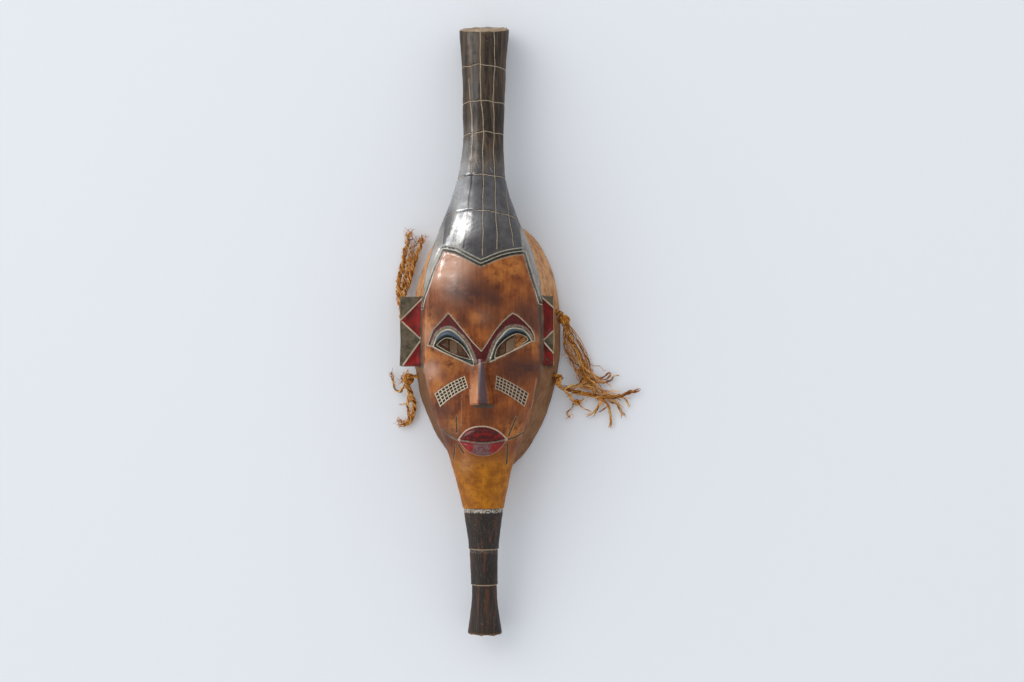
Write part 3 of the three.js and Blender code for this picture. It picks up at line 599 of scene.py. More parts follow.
def loft_blocks(blocks):
    """A closed skin over rings grouped in blocks of (places, angles). Returns places, angles, faces."""
    places, angles, faces = [], [], []
    count = 0
    last = None
    for ys, turns in blocks:
        n = len(turns)
        grid_y = np.repeat(ys, n)
        grid_t = np.tile(turns, len(ys))
        if last is not None:
            faces.extend(stitch(last[0], last[1], count, turns))
        rows = np.arange(len(ys) - 1)[:, None] * n
        cols = np.arange(n)[None, :]
        a = count + rows + cols
        b = count + rows + (cols + 1) % n
        faces.extend(np.stack([a, b, b + n, a + n], -1).reshape(-1, 4).tolist())
        places.append(grid_y)
        angles.append(grid_t)
        last = (count + (len(ys) - 1) * n, turns)
        count += len(ys) * n
    return np.concatenate(places), np.concatenate(angles), faces


def linked(obj):
    """The object, put into the scene."""
    bpy.context.scene.collection.objects.link(obj)
    return obj


def make_object(name, points, faces):
    """A mesh from points in millimetres."""
    mesh = bpy.data.meshes.new(name)
    mesh.from_pydata((np.asarray(points) * MM).tolist(), [], faces)
    mesh.update()
    return linked(bpy.data.objects.new(name, mesh))


def face_outward(obj):
    """Turns all faces of a closed mesh outward."""
    bm = bmesh.new()
    bm.from_mesh(obj.data)
    bmesh.ops.recalc_face_normals(bm, faces=bm.faces)
    volume = bm.calc_volume(signed=True)
    if volume < 0:
        bmesh.ops.reverse_faces(bm, faces=bm.faces)
    bm.to_mesh(obj.data)
    bm.free()
    return obj


def combine(obj, other, how):
    """Joins or cuts a solid with another, which is used up."""
    mod = obj.modifiers.new("join", "BOOLEAN")
    mod.operation = how
    mod.object = other
    mod.solver = "MANIFOLD"
    graph = bpy.context.evaluated_depsgraph_get()
    made = bpy.data.meshes.new_from_object(obj.evaluated_get(graph))
    obj.modifiers.clear()
    old = obj.data
    obj.data = made
    bpy.data.meshes.remove(old)
    bpy.data.objects.remove(other)
    return obj


def between(a, b):
    """Faces between two closed rings of vertex numbers."""
    n = len(a)
    return [(a[j], a[(j + 1) % n], b[(j + 1) % n], b[j]) for j in range(n)]


def cap(ring, middle):
    """Triangles from a closed ring of vertex numbers to one in its middle."""
    return [(a, b, middle) for a, b in zip(ring, ring[1:] + ring[:1])]


def close_end(points, faces, ring, turns, ys, shares):
    """Rounds over and closes an end of the form, from the ring of vertex numbers on."""
    for y_end, share in zip(ys, shares):
        f = {k: float(v) for k, v in form_at(np.array(y_end)).items()}
        middle = np.array([f["shift"], y_end, f["edge"]])
        places = middle + (form_point(np.full(len(turns), y_end), turns) - middle) * share
        if y_end > 0:
            places[:, 1] += END_SLANT * (HEADDRESS_END_MIDDLE - places[:, 2])
        places[:, 1] += 0.3 * waves(places * [1, 0, 1], 7, seed=11) * (share < 0.96)
        start = len(points)
        points.extend(places.tolist())
        following = list(range(start, start + len(turns)))
        faces.extend(between(ring, following))
        ring = following
    points.append(middle.tolist())
    faces.extend(cap(ring, len(points) - 1))


def make_head():
    """The headdress, face and beard in one skin, with their carving."""
    face_turns = ring_turns(150, 26)
    top_turns = ring_turns(64, 30)
    beard_turns = ring_turns(52, 28)
    chin_turns = ring_turns(96, 28)
    line_rows = np.concatenate([
        np.arange(min(v for _, v in path) - 0.8, max(v for _, v in path) + 0.9, 0.4)
        for path in RINGS if path[0][1] > 22
    ])
    top_rows = np.unique(np.concatenate([
        spread((21.2, L - 12, 2.4), (L - 12, L - 1.6, 1.0)), line_rows,
    ]))
    beard_rows = []
    for joint in BEARD_JOINTS:
        at = START - BEARD_LENGTH * joint
        beard_rows += [at + 1.0, at + 0.5, at + 0.1, at - 0.15, at - 0.35, at - 0.6, at - 1.1, at - 1.7]
    beard_rows = np.unique(np.concatenate([
        spread((START - BEARD_LENGTH + 1.5, START - 0.5, 2.2)), [v for v in beard_rows if v < START + 0.6],
    ]))
    rows = [
        (beard_rows, beard_turns),
        (spread((START + 1.4, -226, 1.5)), chin_turns),
        (spread((-225, -214, 0.9), (-213, -183, 0.75), (-182.3, -170, 1.0),
                (-169.2, -167.2, 0.7), (-167.0, -164.6, 0.22), (-164.3, -152, 0.8),
                (-151.4, -80, 0.68), (-79, -40, 1.15), (-39, 20, 0.95)), face_turns),
        (top_rows, top_turns),
    ]
    y, turn, faces = loft_blocks(rows)
    base = form_point(y, turn)
    normal = form_normal(y, turn)
    lift = carve(base, turn)
    points = base + normal * lift[:, None]
    nose = nose_height(points[:, 0], points[:, 1])
    points[:, 2] = np.where(np.sin(turn) > 0.3, np.maximum(points[:, 2], nose), points[:, 2])
    # The two ends: rounded over, then closed.
    slant = END_SLANT * (HEADDRESS_END_MIDDLE - points[:, 2]) * step(158, 188, points[:, 1])
    points[:, 1] += slant
    points = points.tolist()

    total = len(points)
    beard_end = START - BEARD_LENGTH
    beard_ring = list(range(len(beard_turns)))
    close_end(points, faces, beard_ring, beard_turns,
              [beard_end + 0.6, beard_end + 0.1, beard_end, beard_end], [0.985, 0.94, 0.86, 0.4])
    top_ring = list(range(total - len(top_turns), total))
    close_end(points, faces, top_ring, top_turns,
              [L - 0.8, L - 0.2, L, L - 0.1, L, L + 0.1], [0.985, 0.955, 0.90, 0.72, 0.45, 0.2])
    return face_outward(make_object("carved_wood_mask", points, faces))


def egg_loop(half, top, bottom, share, height, steps):
    """Points round a share of an egg outline, widest at RIM_WIDEST, at one height."""
    turn = 2 * math.pi * np.arange(steps) / steps
    across, along = np.cos(turn), np.sin(turn)
    power = 2 / np.where(along > 0, EGG_TOP_POWER, EGG_BOTTOM_POWER)
    reach = np.where(along > 0, top + RIM_WIDEST, bottom - RIM_WIDEST)
    x = np.sign(across) * half * share * np.abs(across) ** power
    y = -RIM_WIDEST + np.sign(along) * reach * share * np.abs(along) ** power
    return np.stack([x, y, np.full(steps, float(height))], -1)


def egg_share(x, y, half, top, bottom):
    """Share of the egg outline that passes through x, y."""
    up = y > -RIM_WIDEST
    power = np.where(up, EGG_TOP_POWER, EGG_BOTTOM_POWER)
    reach = np.where(up, top + RIM_WIDEST, bottom - RIM_WIDEST)
    return (np.abs(x / half) ** power + np.abs((y + RIM_WIDEST) / reach) ** power) ** (1 / power)


# The wall's lean: rows of (height, share of the rim's outline).
WALL_ROWS = [(0, 0.985), (0.6, 0.996), (1.4, 1), (RIM_FLAT_EDGE, 1), (WALL_HEIGHT * 0.45, 0.94),
             (WALL_HEIGHT * 0.8, 0.86), (WALL_HEIGHT, WALL_LEAN)]


def rings_object(name, rings):
    """A closed solid through rings of points, capped at both ends."""
    n = len(rings[0])
    points = np.concatenate(rings).tolist()
    numbers = [list(range(i * n, i * n + n)) for i in range(len(rings))]
    faces = []
    for a, b in zip(numbers[:-1], numbers[1:]):
        faces.extend(between(a, b))
    for ring, places in ((numbers[0], rings[0]), (numbers[-1], rings[-1])):
        points.append(places.mean(0).tolist())
        faces.extend(cap(ring, len(points) - 1))
    return face_outward(make_object(name, points, faces))


def make_shell():
    """The rim and the wall that rises from it, a little uneven from the adze."""
    heights = np.concatenate([[0, 0.5, 1.2, 2.5, 4.2, 5.6], np.linspace(7, WALL_HEIGHT, 20)])
    rings = []
    for h in heights:
        share = float(smooth(WALL_ROWS, h))
        ring = egg_loop(RIM_HALF_WIDTH, RIM_TOP, RIM_BOTTOM, share, h, 260)
        uneven = 0.5 * waves(ring * [1, 1, 0.25], 38, seed=21)
        uneven += 0.16 * waves(ring * [1, 1, 0.3], 11, seed=22)
        if h > 0.9:
            out = ring - [0, -RIM_WIDEST, h]
            out /= np.linalg.norm(out, axis=1, keepdims=True)
            ring = ring - out * np.maximum(uneven[:, None] + 0.3, 0)
        rings.append(ring)
    return rings_object("shell_part", rings)


def make_hollow():
    """The cutter of the hollow back, rounded and with tool marks."""
    rings = [egg_loop(RIM_HALF_WIDTH - RIM_THICKNESS, -HOLLOW_TOP, HOLLOW_BOTTOM, 1, -2, 150)]
    for turn in np.linspace(0, math.pi / 2 * 0.985, 42):
        height = HOLLOW_DEPTH * math.sin(turn) ** (2 / 3)
        share = math.cos(turn) ** (2 / 3)
        ring = egg_loop(RIM_HALF_WIDTH - RIM_THICKNESS, -HOLLOW_TOP, HOLLOW_BOTTOM, share, height, 150)
        middle = np.array([0, -RIM_WIDEST, 12.0])
        out = ring - middle
        size = np.linalg.norm(out, axis=1, keepdims=True)
        marks = 0.45 * np.abs(waves(ring, 17, seed=31)) + 0.3 * waves(ring, 30, seed=32)
        fade = np.clip(height / 8, 0, 1)
        ring = ring + out / size * (marks[:, None] * 0.8 * fade)
        rings.append(ring)
    return rings_object("hollow_part", rings)


# Triangles cut into each ear's front, then the pale ridges between them.
EAR_RED = {
    -1: [[(-58.5, -64.5), (-79.0, -87.6), (-59.5, -104.0)],
         [(-59.0, -106.5), (-75.6, -129.6), (-59.0, -129.6)]],
    1: [[(54.0, -65.3), (65.4, -75.1), (65.6, -96.8), (56.8, -105.6), (54.0, -100.0)],
        [(54.0, -106.0), (68.3, -121.5), (68.3, -129.6), (54.0, -129.6)]],
}
EAR_LINES = {
    -1: [[(-54.8, -62.9), (-80, -88.4)], [(-76.8, -88.0), (-59.0, -104.4)],
         [(-58.5, -105.2), (-75.6, -129.0)]],
    1: [[(54.0, -65.0), (66.5, -76.1)], [(66.5, -95.8), (56.6, -105.6)], [(55.6, -106.5), (68.6, -121.4)]],
}


def make_ear(side, reach):
    """A slab with triangles cut into its front, built on a fine grid."""
    nx, ny = (44, 104) if side < 0 else (36, 104)
    inner = FACE_HALF_WIDTH - 9
    u = np.linspace(0, 1, nx)
    v = np.linspace(0, 1, ny)
    gx = side * (inner + (reach - inner) * u)[None, :] + np.zeros((ny, 1))
    gy = (-EAR_TOP - EAR_HEIGHT * v)[:, None] + np.zeros((1, nx))
    x, y = gx.ravel(), gy.ravel()
    z = np.full(x.shape, EAR_FRONT)
    red = np.full(x.shape, 1e3)
    for outline in EAR_RED[side]:
        red = np.minimum(red, inside_distance(x, y, outline))
    z -= 1.4 * step(0.1, -0.6, red) + 0.8 * step(-1, -5, red)
    lines = np.full(x.shape, 1e3)
    for path in EAR_LINES[side]:
        lines = np.minimum(lines, line_distance(x, y, path))
    z += 0.25 * np.exp(-((lines / 0.7) ** 2)) - 0.3
    points = np.stack([x, y, z], -1)
    z += 0.15 * waves(points, 12, seed=41 + side) + 0.3 * waves(points, 40, seed=43 + side)
    z = np.minimum(z, EAR_FRONT + 0.1)
    # The front's edges are worn round.
    from_ends = np.minimum(v, 1 - v)[:, None] * EAR_HEIGHT
    edge = np.minimum(from_ends, (1 - u)[None, :] * (reach - inner)).ravel()
    z -= 0.7 * np.clip(1 - edge / 0.9, 0, 1) ** 2
    wob = 0.35 * waves(points * [1, 1, 0], 26, seed=45 + side)
    across = np.tile(u, ny)
    x = x + side * wob * across - side * 0.3 * (across > 0.98)
    top = np.stack([x, y, z], -1)
    border = [(0, j) for j in range(nx)] + [(i, nx - 1) for i in range(1, ny)]
    border += [(ny - 1, j) for j in range(nx - 2, -1, -1)] + [(i, 0) for i in range(ny - 2, 0, -1)]
    ids = [i * nx + j for i, j in border]
    points = top.tolist()
    faces = []
    for i in range(ny - 1):
        for j in range(nx - 1):
            a = i * nx + j
            faces.append((a, a + 1, a + nx + 1, a + nx))
    levels = [EAR_FRONT - 3.2, EAR_FRONT - 8, EAR_FRONT - 14, EAR_BACK + 0.8, EAR_BACK]
    previous = ids
    for level in levels:
        ring = list(range(len(points), len(points) + len(ids)))
        points.extend([top[i][0], top[i][1], level] for i in ids)
        faces.extend(between(previous, ring))
        previous = ring
    points.append([side * (inner + reach) / 2, -EAR_TOP - EAR_HEIGHT / 2, EAR_BACK])
    faces.extend(cap(previous, len(points) - 1))
    return face_outward(make_object("ear_part", points, faces))


def tube_object(name, a, b, radius, sides):
    """A straight round rod from a to b."""
    a, b = np.array(a, float), np.array(b, float)
    run = (b - a) / np.linalg.norm(b - a)
    side = np.cross([0, 1, 0], run)
    side /= np.linalg.norm(side)
    up = np.cross(run, side)
    turn = 2 * math.pi * np.arange(sides) / sides
    loop = np.cos(turn)[:, None] * side + np.sin(turn)[:, None] * up
    steps = 5
    rings = [a + (b - a) * i / steps + loop * radius for i in range(steps + 1)]
    return rings_object(name, rings)


def hole_place(side, y, out):
    """The middle of a tie's hole, some way out of the wall."""
    return np.array([side * (WALL_FACE + out), y, HOLE_HEIGHT + HOLE_LEAN * out])


def make_window(side):
    """The cutter of the slot through an eye, within the eye's outline."""
    x0, x1 = WINDOW[side]
    top = [p for p in curve(LENS_TOP[side], 12) if x0 <= p[0] <= x1]
    lower = [LENS_TOP[side][-1]] + LENS_BOTTOM[side] + [LENS_TOP[side][0]]
    bottom = [p for p in curve(lower, 12) if x0 <= p[0] <= x1]
    inset = 0.9
    top = sorted(([p[0], p[1] - inset] for p in top), key=lambda p: p[0])
    bottom = sorted(([p[0], p[1] + inset] for p in bottom), key=lambda p: -p[0])
    ring = np.array(top + bottom)
    rings = [np.column_stack([ring, np.full(len(ring), z)]) for z in (30.0, 50.0, 60.0, 70.0, 95.0)]
    return rings_object("window_part", rings)


# Each tie's hole: its side and its place along the mask.
HOLES = {
    "upper_left": (-1, -HOLE_UPPER_Y),
    "lower_left": (-1, -HOLE_LOWER_Y),
    "upper_right": (1, -HOLE_UPPER_Y),
    "lower_right": (1, -HOLE_LOWER_Y),
}


def make_mask():
    """The whole mask: head, shell and ears joined, then the back, eyes and holes cut."""
    body = make_head()
    combine(body, make_shell(), "UNION")
    combine(body, make_ear(-1, EAR_LEFT_REACH), "UNION")
    combine(body, make_ear(1, EAR_RIGHT_REACH), "UNION")
    combine(body, make_hollow(), "DIFFERENCE")
    for side in (-1, 1):
        combine(body, make_window(side), "DIFFERENCE")
    for side, y in HOLES.values():
        cut = tube_object("hole_part", hole_place(side, y, 4.5), hole_place(side, y, -18), HOLE_RADIUS, 28)
        combine(body, cut, "DIFFERENCE")
    return body


def store(obj, name, values):
    """Keeps one number for each vertex, for the material to read."""
    attribute = obj.data.attributes.new(name, "FLOAT", "POINT")
    attribute.data.foreach_set("value", np.asarray(values, np.float32))


def vertex_rows(rows, name):
    """Three numbers for each vertex, as an array."""
    values = np.empty(len(rows) * 3, np.float32)
    rows.foreach_get(name, values)
    return values.reshape(-1, 3)


def paint_fields(obj):
    """Stores at each vertex how far it is from every painted edge."""
    x, y, z = vertex_rows(obj.data.vertices, "co").T.astype(float) / MM
    n = len(x)
    f = form_at(y)
    height = np.where(z > f["edge"], f["front"] - f["edge"], f["edge"] - f["back"])
    form = (np.abs((x - f["shift"]) / f["half"]) ** f["round"]
            + np.abs((z - f["edge"]) / height) ** f["round"]) ** (1 / f["round"])
    hollow_egg = egg_share(x, y, RIM_HALF_WIDTH - RIM_THICKNESS, -HOLLOW_TOP, HOLLOW_BOTTOM)
    hollow = (hollow_egg**3 + np.clip(z / HOLLOW_DEPTH, 0, 9) ** 3) ** (1 / 3)
    inner = step(1.05, 1.025, hollow) * (z < HOLLOW_DEPTH + 1.6)
    in_ear = (y < -EAR_TOP + 0.4) & (y > -EAR_TOP - EAR_HEIGHT - 0.4)
    in_ear &= (z > EAR_BACK - 0.3) & (z < EAR_FRONT + 0.6)
    ear = (in_ear & (form > 1.03) & (np.abs(x) > 55.2 - 1.6 * (x > 0))).astype(float)
    rim_egg = egg_share(x, y, RIM_HALF_WIDTH, RIM_TOP, RIM_BOTTOM)
    wall = smooth(WALL_ROWS, np.clip(z, 0, WALL_HEIGHT))
    on_wall = (np.abs(rim_egg - wall) < 0.05) & (z < WALL_HEIGHT + 0.5)
    under = z < 1.0
    shell = np.where(on_wall, np.clip((form - 1.02) * 45, -1, 20), -1.0)
    shell = np.where(under, 5.0, shell)
    shell = np.where(in_ear & (ear > 0), -1, shell)
    shell = np.where((y > RIM_TOP + 1) | (y < -RIM_BOTTOM - 1), -1, shell)
    store(obj, "shell", shell)
    store(obj, "inner", inner)
    store(obj, "ear", ear)
    front = (z > f["edge"] - 8) & (inner < 0.5)
    fields = face_fields(x, y)
    for name in ("brow", "eye", "lens", "lip_up", "lip_low", "stroke"):
        store(obj, name, np.where(front, np.clip(fields[name], -30, 30), 30))
    store(obj, "grid_s", np.where(front, fields["grid_s"], -2))
    store(obj, "grid_w", np.where(front, fields["grid_w"], -2))
    hair = hair_distance(x, y, 40)
    hair = np.where(y > 20, np.maximum(hair, y + 10), hair)
    low_side = z < f["edge"] - 3
    hair = np.where(low_side & (y < 20), (y + 60) * 0.6, hair)
    store(obj, "hair", np.clip(hair, -40, 200))
    red = np.full(n, 30.0)
    lines = np.full(n, 30.0)
    for side in (-1, 1):
        near = (side * x > 50) & (ear > 0) & (z > EAR_FRONT - 3.15)
        for outline in EAR_RED[side]:
            red[near] = np.minimum(red[near], inside_distance(x[near], y[near], outline))
        for path in EAR_LINES[side]:
            lines[near] = np.minimum(lines[near], line_distance(x[near], y[near], path))
    store(obj, "ear_red", red)
    store(obj, "ear_line", lines)
    store(obj, "along", y)


def shade(obj, angle):
    """Smooth shading, with edges sharper than an angle kept."""
    obj.data.shade_smooth()
    obj.data.set_sharp_from_angle(angle=math.radians(angle))


# Materials.


class Value:
    """A value or colour in a material, which can be added, taken away and multiplied like a number."""

    def __init__(self, paint, socket):
        self.paint = paint
        self.socket = socket

    def __add__(self, other):
        return self.paint.math("ADD", self, other)

    def __sub__(self, other):
        return self.paint.math("SUBTRACT", self, other)

    def __rsub__(self, other):
        return self.paint.math("SUBTRACT", other, self)

    def __mul__(self, other):
        return self.paint.math("MULTIPLY", self, other)

    def ramp(self, low, high):
        """A smooth rise from 0 at low to 1 at high."""
        node = self.paint.node("MapRange", interpolation_type="SMOOTHSTEP")
        self.paint.put(node.inputs["Value"], self)
        node.inputs["From Min"].default_value = low
        node.inputs["From Max"].default_value = high
        return Value(self.paint, node.outputs["Result"])

    def band(self, low, high, soft=0.15):
        """1 where the value lies between low and high."""
        return self.paint.both(self.ramp(low - soft, low + soft), self.ramp(high + soft, high - soft))


class Paint:
    """Short ways to wire the nodes of one material."""

    def __init__(self, name):
        self.material = bpy.data.materials.new(name)
        self.material.use_nodes = True
        self.tree = self.material.node_tree
        self.shader = self.tree.nodes["Principled BSDF"]
        place = self.node("TexCoord").outputs["Object"]
        self.place = self.scale(Value(self, place), (1 / MM, 1 / MM, 1 / MM))

    def node(self, kind, **settings):
        """A new node of one kind, with its settings."""
        made = self.tree.nodes.new("ShaderNode" + kind)
        for name, setting in settings.items():
            setattr(made, name, setting)
        return made

    def put(self, socket, value):
        """Links a value to a socket, or sets a plain number or colour on it."""
        if isinstance(value, Value):
            self.tree.links.new(value.socket, socket)
        elif isinstance(value, tuple) and socket.type == "RGBA":
            socket.default_value = (*value, 1)
        else:
            socket.default_value = value

    def scale(self, vector, by):
        node = self.node("VectorMath", operation="MULTIPLY")
        self.put(node.inputs[0], vector)
        node.inputs[1].default_value = by
        return Value(self, node.outputs[0])

    def attr(self, name):
        """The number kept for each vertex under a name."""
        return Value(self, self.node("Attribute", attribute_name=name).outputs["Fac"])

    def math(self, how, a, b=0.0):
        node = self.node("Math", operation=how)
        self.put(node.inputs[0], a)
        self.put(node.inputs[1], b)
        return Value(self, node.outputs[0])

    def both(self, a, b):
        return self.math("MINIMUM", a, b)

    def either(self, a, b):
        return self.math("MAXIMUM", a, b)

    def noise(self, size, detail=3.0, rough=0.55, stretch=None, twist=0.0):
        """Cloudy noise about 0 to 1; size is its grain in millimetres."""
        node = self.node("TexNoise")
        self.put(node.inputs["Vector"], self.scale(self.place, stretch) if stretch else self.place)
        node.inputs["Scale"].default_value = 1 / size
        node.inputs["Detail"].default_value = detail
        node.inputs["Roughness"].default_value = rough
        node.inputs["Distortion"].default_value = twist
        return Value(self, node.outputs["Fac"])

    def mix(self, share, a, b):
        """Colour a, with a share of colour b over it."""
        node = self.node("Mix", data_type="RGBA")
        self.put(node.inputs[0], share)
        self.put(node.inputs[6], a)
        self.put(node.inputs[7], b)
        return Value(self, node.outputs[2])

    def blend(self, share, a, b):
        """Value a, giving way to value b by a share."""
        node = self.node("Mix", data_type="FLOAT")
        self.put(node.inputs[0], share)
        self.put(node.inputs[2], a)
        self.put(node.inputs[3], b)
        return Value(self, node.outputs[0])

    def bump(self, height, strength):
        """Makes a height in millimetres show as relief."""
        node = self.node("Bump")
        node.inputs["Strength"].default_value = strength
        node.inputs["Distance"].default_value = MM
        self.put(node.inputs["Height"], height)
        self.put(self.shader.inputs["Normal"], Value(self, node.outputs[0]))


# Colours, as shares of red, green and blue light.
CREAM = (0.60, 0.50, 0.36)
CREAM_DIRTY = (0.30, 0.24, 0.16)
LID_REFLECTION_BLUE = (0.050, 0.072, 0.098)
MAROON = (0.120, 0.012, 0.009)
RED = (0.27, 0.013, 0.010)
OCHRE = (0.45, 0.160, 0.006)
ORANGE_WEAR_AND_LIGHT = (0.47, 0.17, 0.035)
WOOD_DARK = (0.098, 0.024, 0.008)
WOOD_MID = (0.27, 0.072, 0.016)
WOOD_LIGHT = (0.43, 0.138, 0.03)
WOOD_GRAIN = (0.085, 0.024, 0.009)
WOOD_HIGHLIGHT = (0.68, 0.35, 0.2)
WOOD_STAIN_AND_SHADE = (0.072, 0.026, 0.017)
OCHRE_DARK = (0.27, 0.085, 0.005)
OCHRE_GRAIN = (0.13, 0.045, 0.01)
FACE_DIRT = (0.05, 0.022, 0.012)
PALE_EDGE = (0.52, 0.3, 0.16)
CREASE_SHADE = (0.085, 0.072, 0.055)
NOSE_HIGHLIGHT = (0.58, 0.26, 0.13)
NOSE_RIDGE_DARK_AND_REFLECTION = (0.05, 0.04, 0.052)
GRID_LINE_WORN = (0.26, 0.16, 0.1)
PIT_BROWN = (0.085, 0.04, 0.025)
PIT_DARK = (0.032, 0.015, 0.008)
STROKE_EDGE = (0.36, 0.23, 0.13)
STROKE_DARK = (0.052, 0.04, 0.025)
LIP_SHADED_DARK = (0.06, 0.009, 0.007)
LIP_SHADED_RED = (0.2, 0.01, 0.009)
LIP_REFLECTION_DARK = (0.12, 0.05, 0.048)
LIP_REFLECTION_PALE = (0.2, 0.095, 0.095)
LIP_LOW_DARK = (0.17, 0.02, 0.018)
LIP_LOW_RED = (0.4, 0.01, 0.012)
LIP_EDGE = (0.5, 0.38, 0.28)
PARTING_PALE = (0.46, 0.36, 0.3)
HOLLOW_DARK = (0.06, 0.01, 0.01)
ARC_DARK = (0.07, 0.05, 0.034)
ARC_GREY = (0.3, 0.245, 0.185)
SMUDGE = (0.12, 0.07, 0.045)
LID_BLACK = (0.012, 0.014, 0.012)
LID_TEAL = (0.022, 0.032, 0.029)
LID_WORN = (0.2, 0.2, 0.19)
LID_SPECK = (0.045, 0.04, 0.036)
SLIT_DARK = (0.04, 0.018, 0.008)
SLIT_BROWN = (0.125, 0.052, 0.022)
SLIT_SUNLIT = (0.36, 0.13, 0.03)
HALO = (0.34, 0.24, 0.15)
BLACK = (0.022, 0.017, 0.013)
BLACK_BROWN = (0.08, 0.05, 0.03)
BLACK_GRAIN = (0.13, 0.092, 0.06)
LOW_BLACK = (0.016, 0.016, 0.022)
LOW_BLACK_GREY = (0.05, 0.046, 0.05)
HIGHLIGHT_STREAK_GREY = (0.3, 0.29, 0.28)
RUBBED_BROWN = (0.14, 0.095, 0.055)
SAWN_DARK = (0.16, 0.095, 0.05)
SAWN_PALE = (0.46, 0.33, 0.2)
LINE_PALE = (0.44, 0.35, 0.24)
LINE_DARK = (0.01, 0.009, 0.008)
CRACK_DARK = (0.008, 0.006, 0.005)
SCRATCH_PALE = (0.3, 0.27, 0.24)
BEARD_BLACK = (0.026, 0.021, 0.018)
BEARD_RED = (0.09, 0.036, 0.018)
BEARD_GRAIN = (0.068, 0.058, 0.048)
BEARD_WORN = (0.2, 0.105, 0.055)
RING_WORN = (0.38, 0.27, 0.17)
BAND_GREY = (0.3, 0.26, 0.21)
BAND_PALE = (0.5, 0.44, 0.36)
BEARD_END_DARK = (0.085, 0.04, 0.018)
BEARD_END_TAN = (0.4, 0.19, 0.075)
FLANK_DARK = (0.072, 0.064, 0.048)
FLANK_GREY = (0.19, 0.165, 0.128)
FLANK_HIGHLIGHT = (0.42, 0.36, 0.29)
HAIRLINE_TAN = (0.28, 0.22, 0.15)
HAIRLINE_CREAM = (0.46, 0.4, 0.3)
HAIRLINE_WORN = (0.16, 0.12, 0.08)
INK_DARK = (0.012, 0.017, 0.016)
INK_WORN = (0.045, 0.05, 0.042)
FLANK_LINE = (0.36, 0.32, 0.25)
SMEAR_TAN = (0.36, 0.27, 0.18)
RIM_LINE = (0.62, 0.53, 0.4)
TAN_DARK = (0.34, 0.14, 0.05)
TAN_LIGHT = (0.7, 0.365, 0.165)
TAN_GRAIN = (0.12, 0.055, 0.027)
TAN_SHADE = (0.115, 0.055, 0.028)
TAN_HIGHLIGHT = (0.86, 0.56, 0.34)
TAN_DIRT = (0.06, 0.032, 0.02)
BACK_DARK = (0.1, 0.05, 0.024)
BACK_LIGHT = (0.22, 0.125, 0.064)
SLAB_DARK = (0.044, 0.034, 0.02)
SLAB_GREY = (0.14, 0.108, 0.067)
EAR_RED_DARK = (0.11, 0.014, 0.011)
EAR_EDGE = (0.4, 0.22, 0.11)
FIBRE_BROWN = (0.15, 0.042, 0.007)
FIBRE_TAN = (0.64, 0.245, 0.032)
FIBRE_STRAW = (0.95, 0.58, 0.2)
FIBRE_SHADE = (0.19, 0.06, 0.012)


def wood_fields():
    """The wood's material, with its noises and its distances to every painted edge."""
    p = Paint("carved_wood")
    p.ragged = p.noise(1.1, 3)
    p.speck = p.noise(2.3, 5, 0.7)
    p.cloud = p.noise(9, 5, 0.62)
    p.broad = p.noise(30, 3, 0.5)
    p.grain = p.noise(1.0, 4, 0.6, (1.1, 0.045, 1.1), 0.3)
    p.streak = p.noise(4.2, 4, 0.6, (1.0, 0.06, 1.0), 0.6)
    p.pores = p.noise(0.55, 2, 0.5, (1.0, 0.12, 1.0))
    p.jitter = (p.ragged - 0.5) * 1.3
    p.broken = p.noise(3.4, 4, 0.7).ramp(0.3, 0.46)

    p.hair = p.attr("hair") + p.jitter * 0.55
    p.brow = p.attr("brow") + p.jitter * 0.5
    p.eye = p.attr("eye") + p.jitter * 0.4
    p.lens = p.attr("lens") + p.jitter * 0.35
    p.lip_up = p.attr("lip_up") + p.jitter * 0.5
    p.lip_low = p.attr("lip_low") + p.jitter * 0.5
    p.stroke = p.attr("stroke") + p.jitter * 0.5
    p.line = p.attr("line")
    for i in range(len(FAN_LINES)):
        p.line = p.both(p.line, p.math("ABSOLUTE", p.attr("fan%d" % i)))
    p.line = p.line + p.jitter * 0.45
    p.shell = p.attr("shell").ramp(-0.1, 0.6)
    p.inner = p.attr("inner")
    p.ear = p.attr("ear")
    p.along = p.attr("along")
    p.dirt = p.noise(1.6, 4, 0.75).ramp(0.6, 0.72) * 0.5
    p.is_beard = p.along.ramp(START - 0.1, START - 0.5)
    p.flank = (p.attr("flank") + (p.cloud - 0.5) * 0.6).ramp(0.25, 0.72)
    p.dark_part = p.either(p.hair.ramp(3.8, 4.4), p.is_beard)
    p.bare = p.either(p.either(p.shell, p.ear), p.inner)
    return p


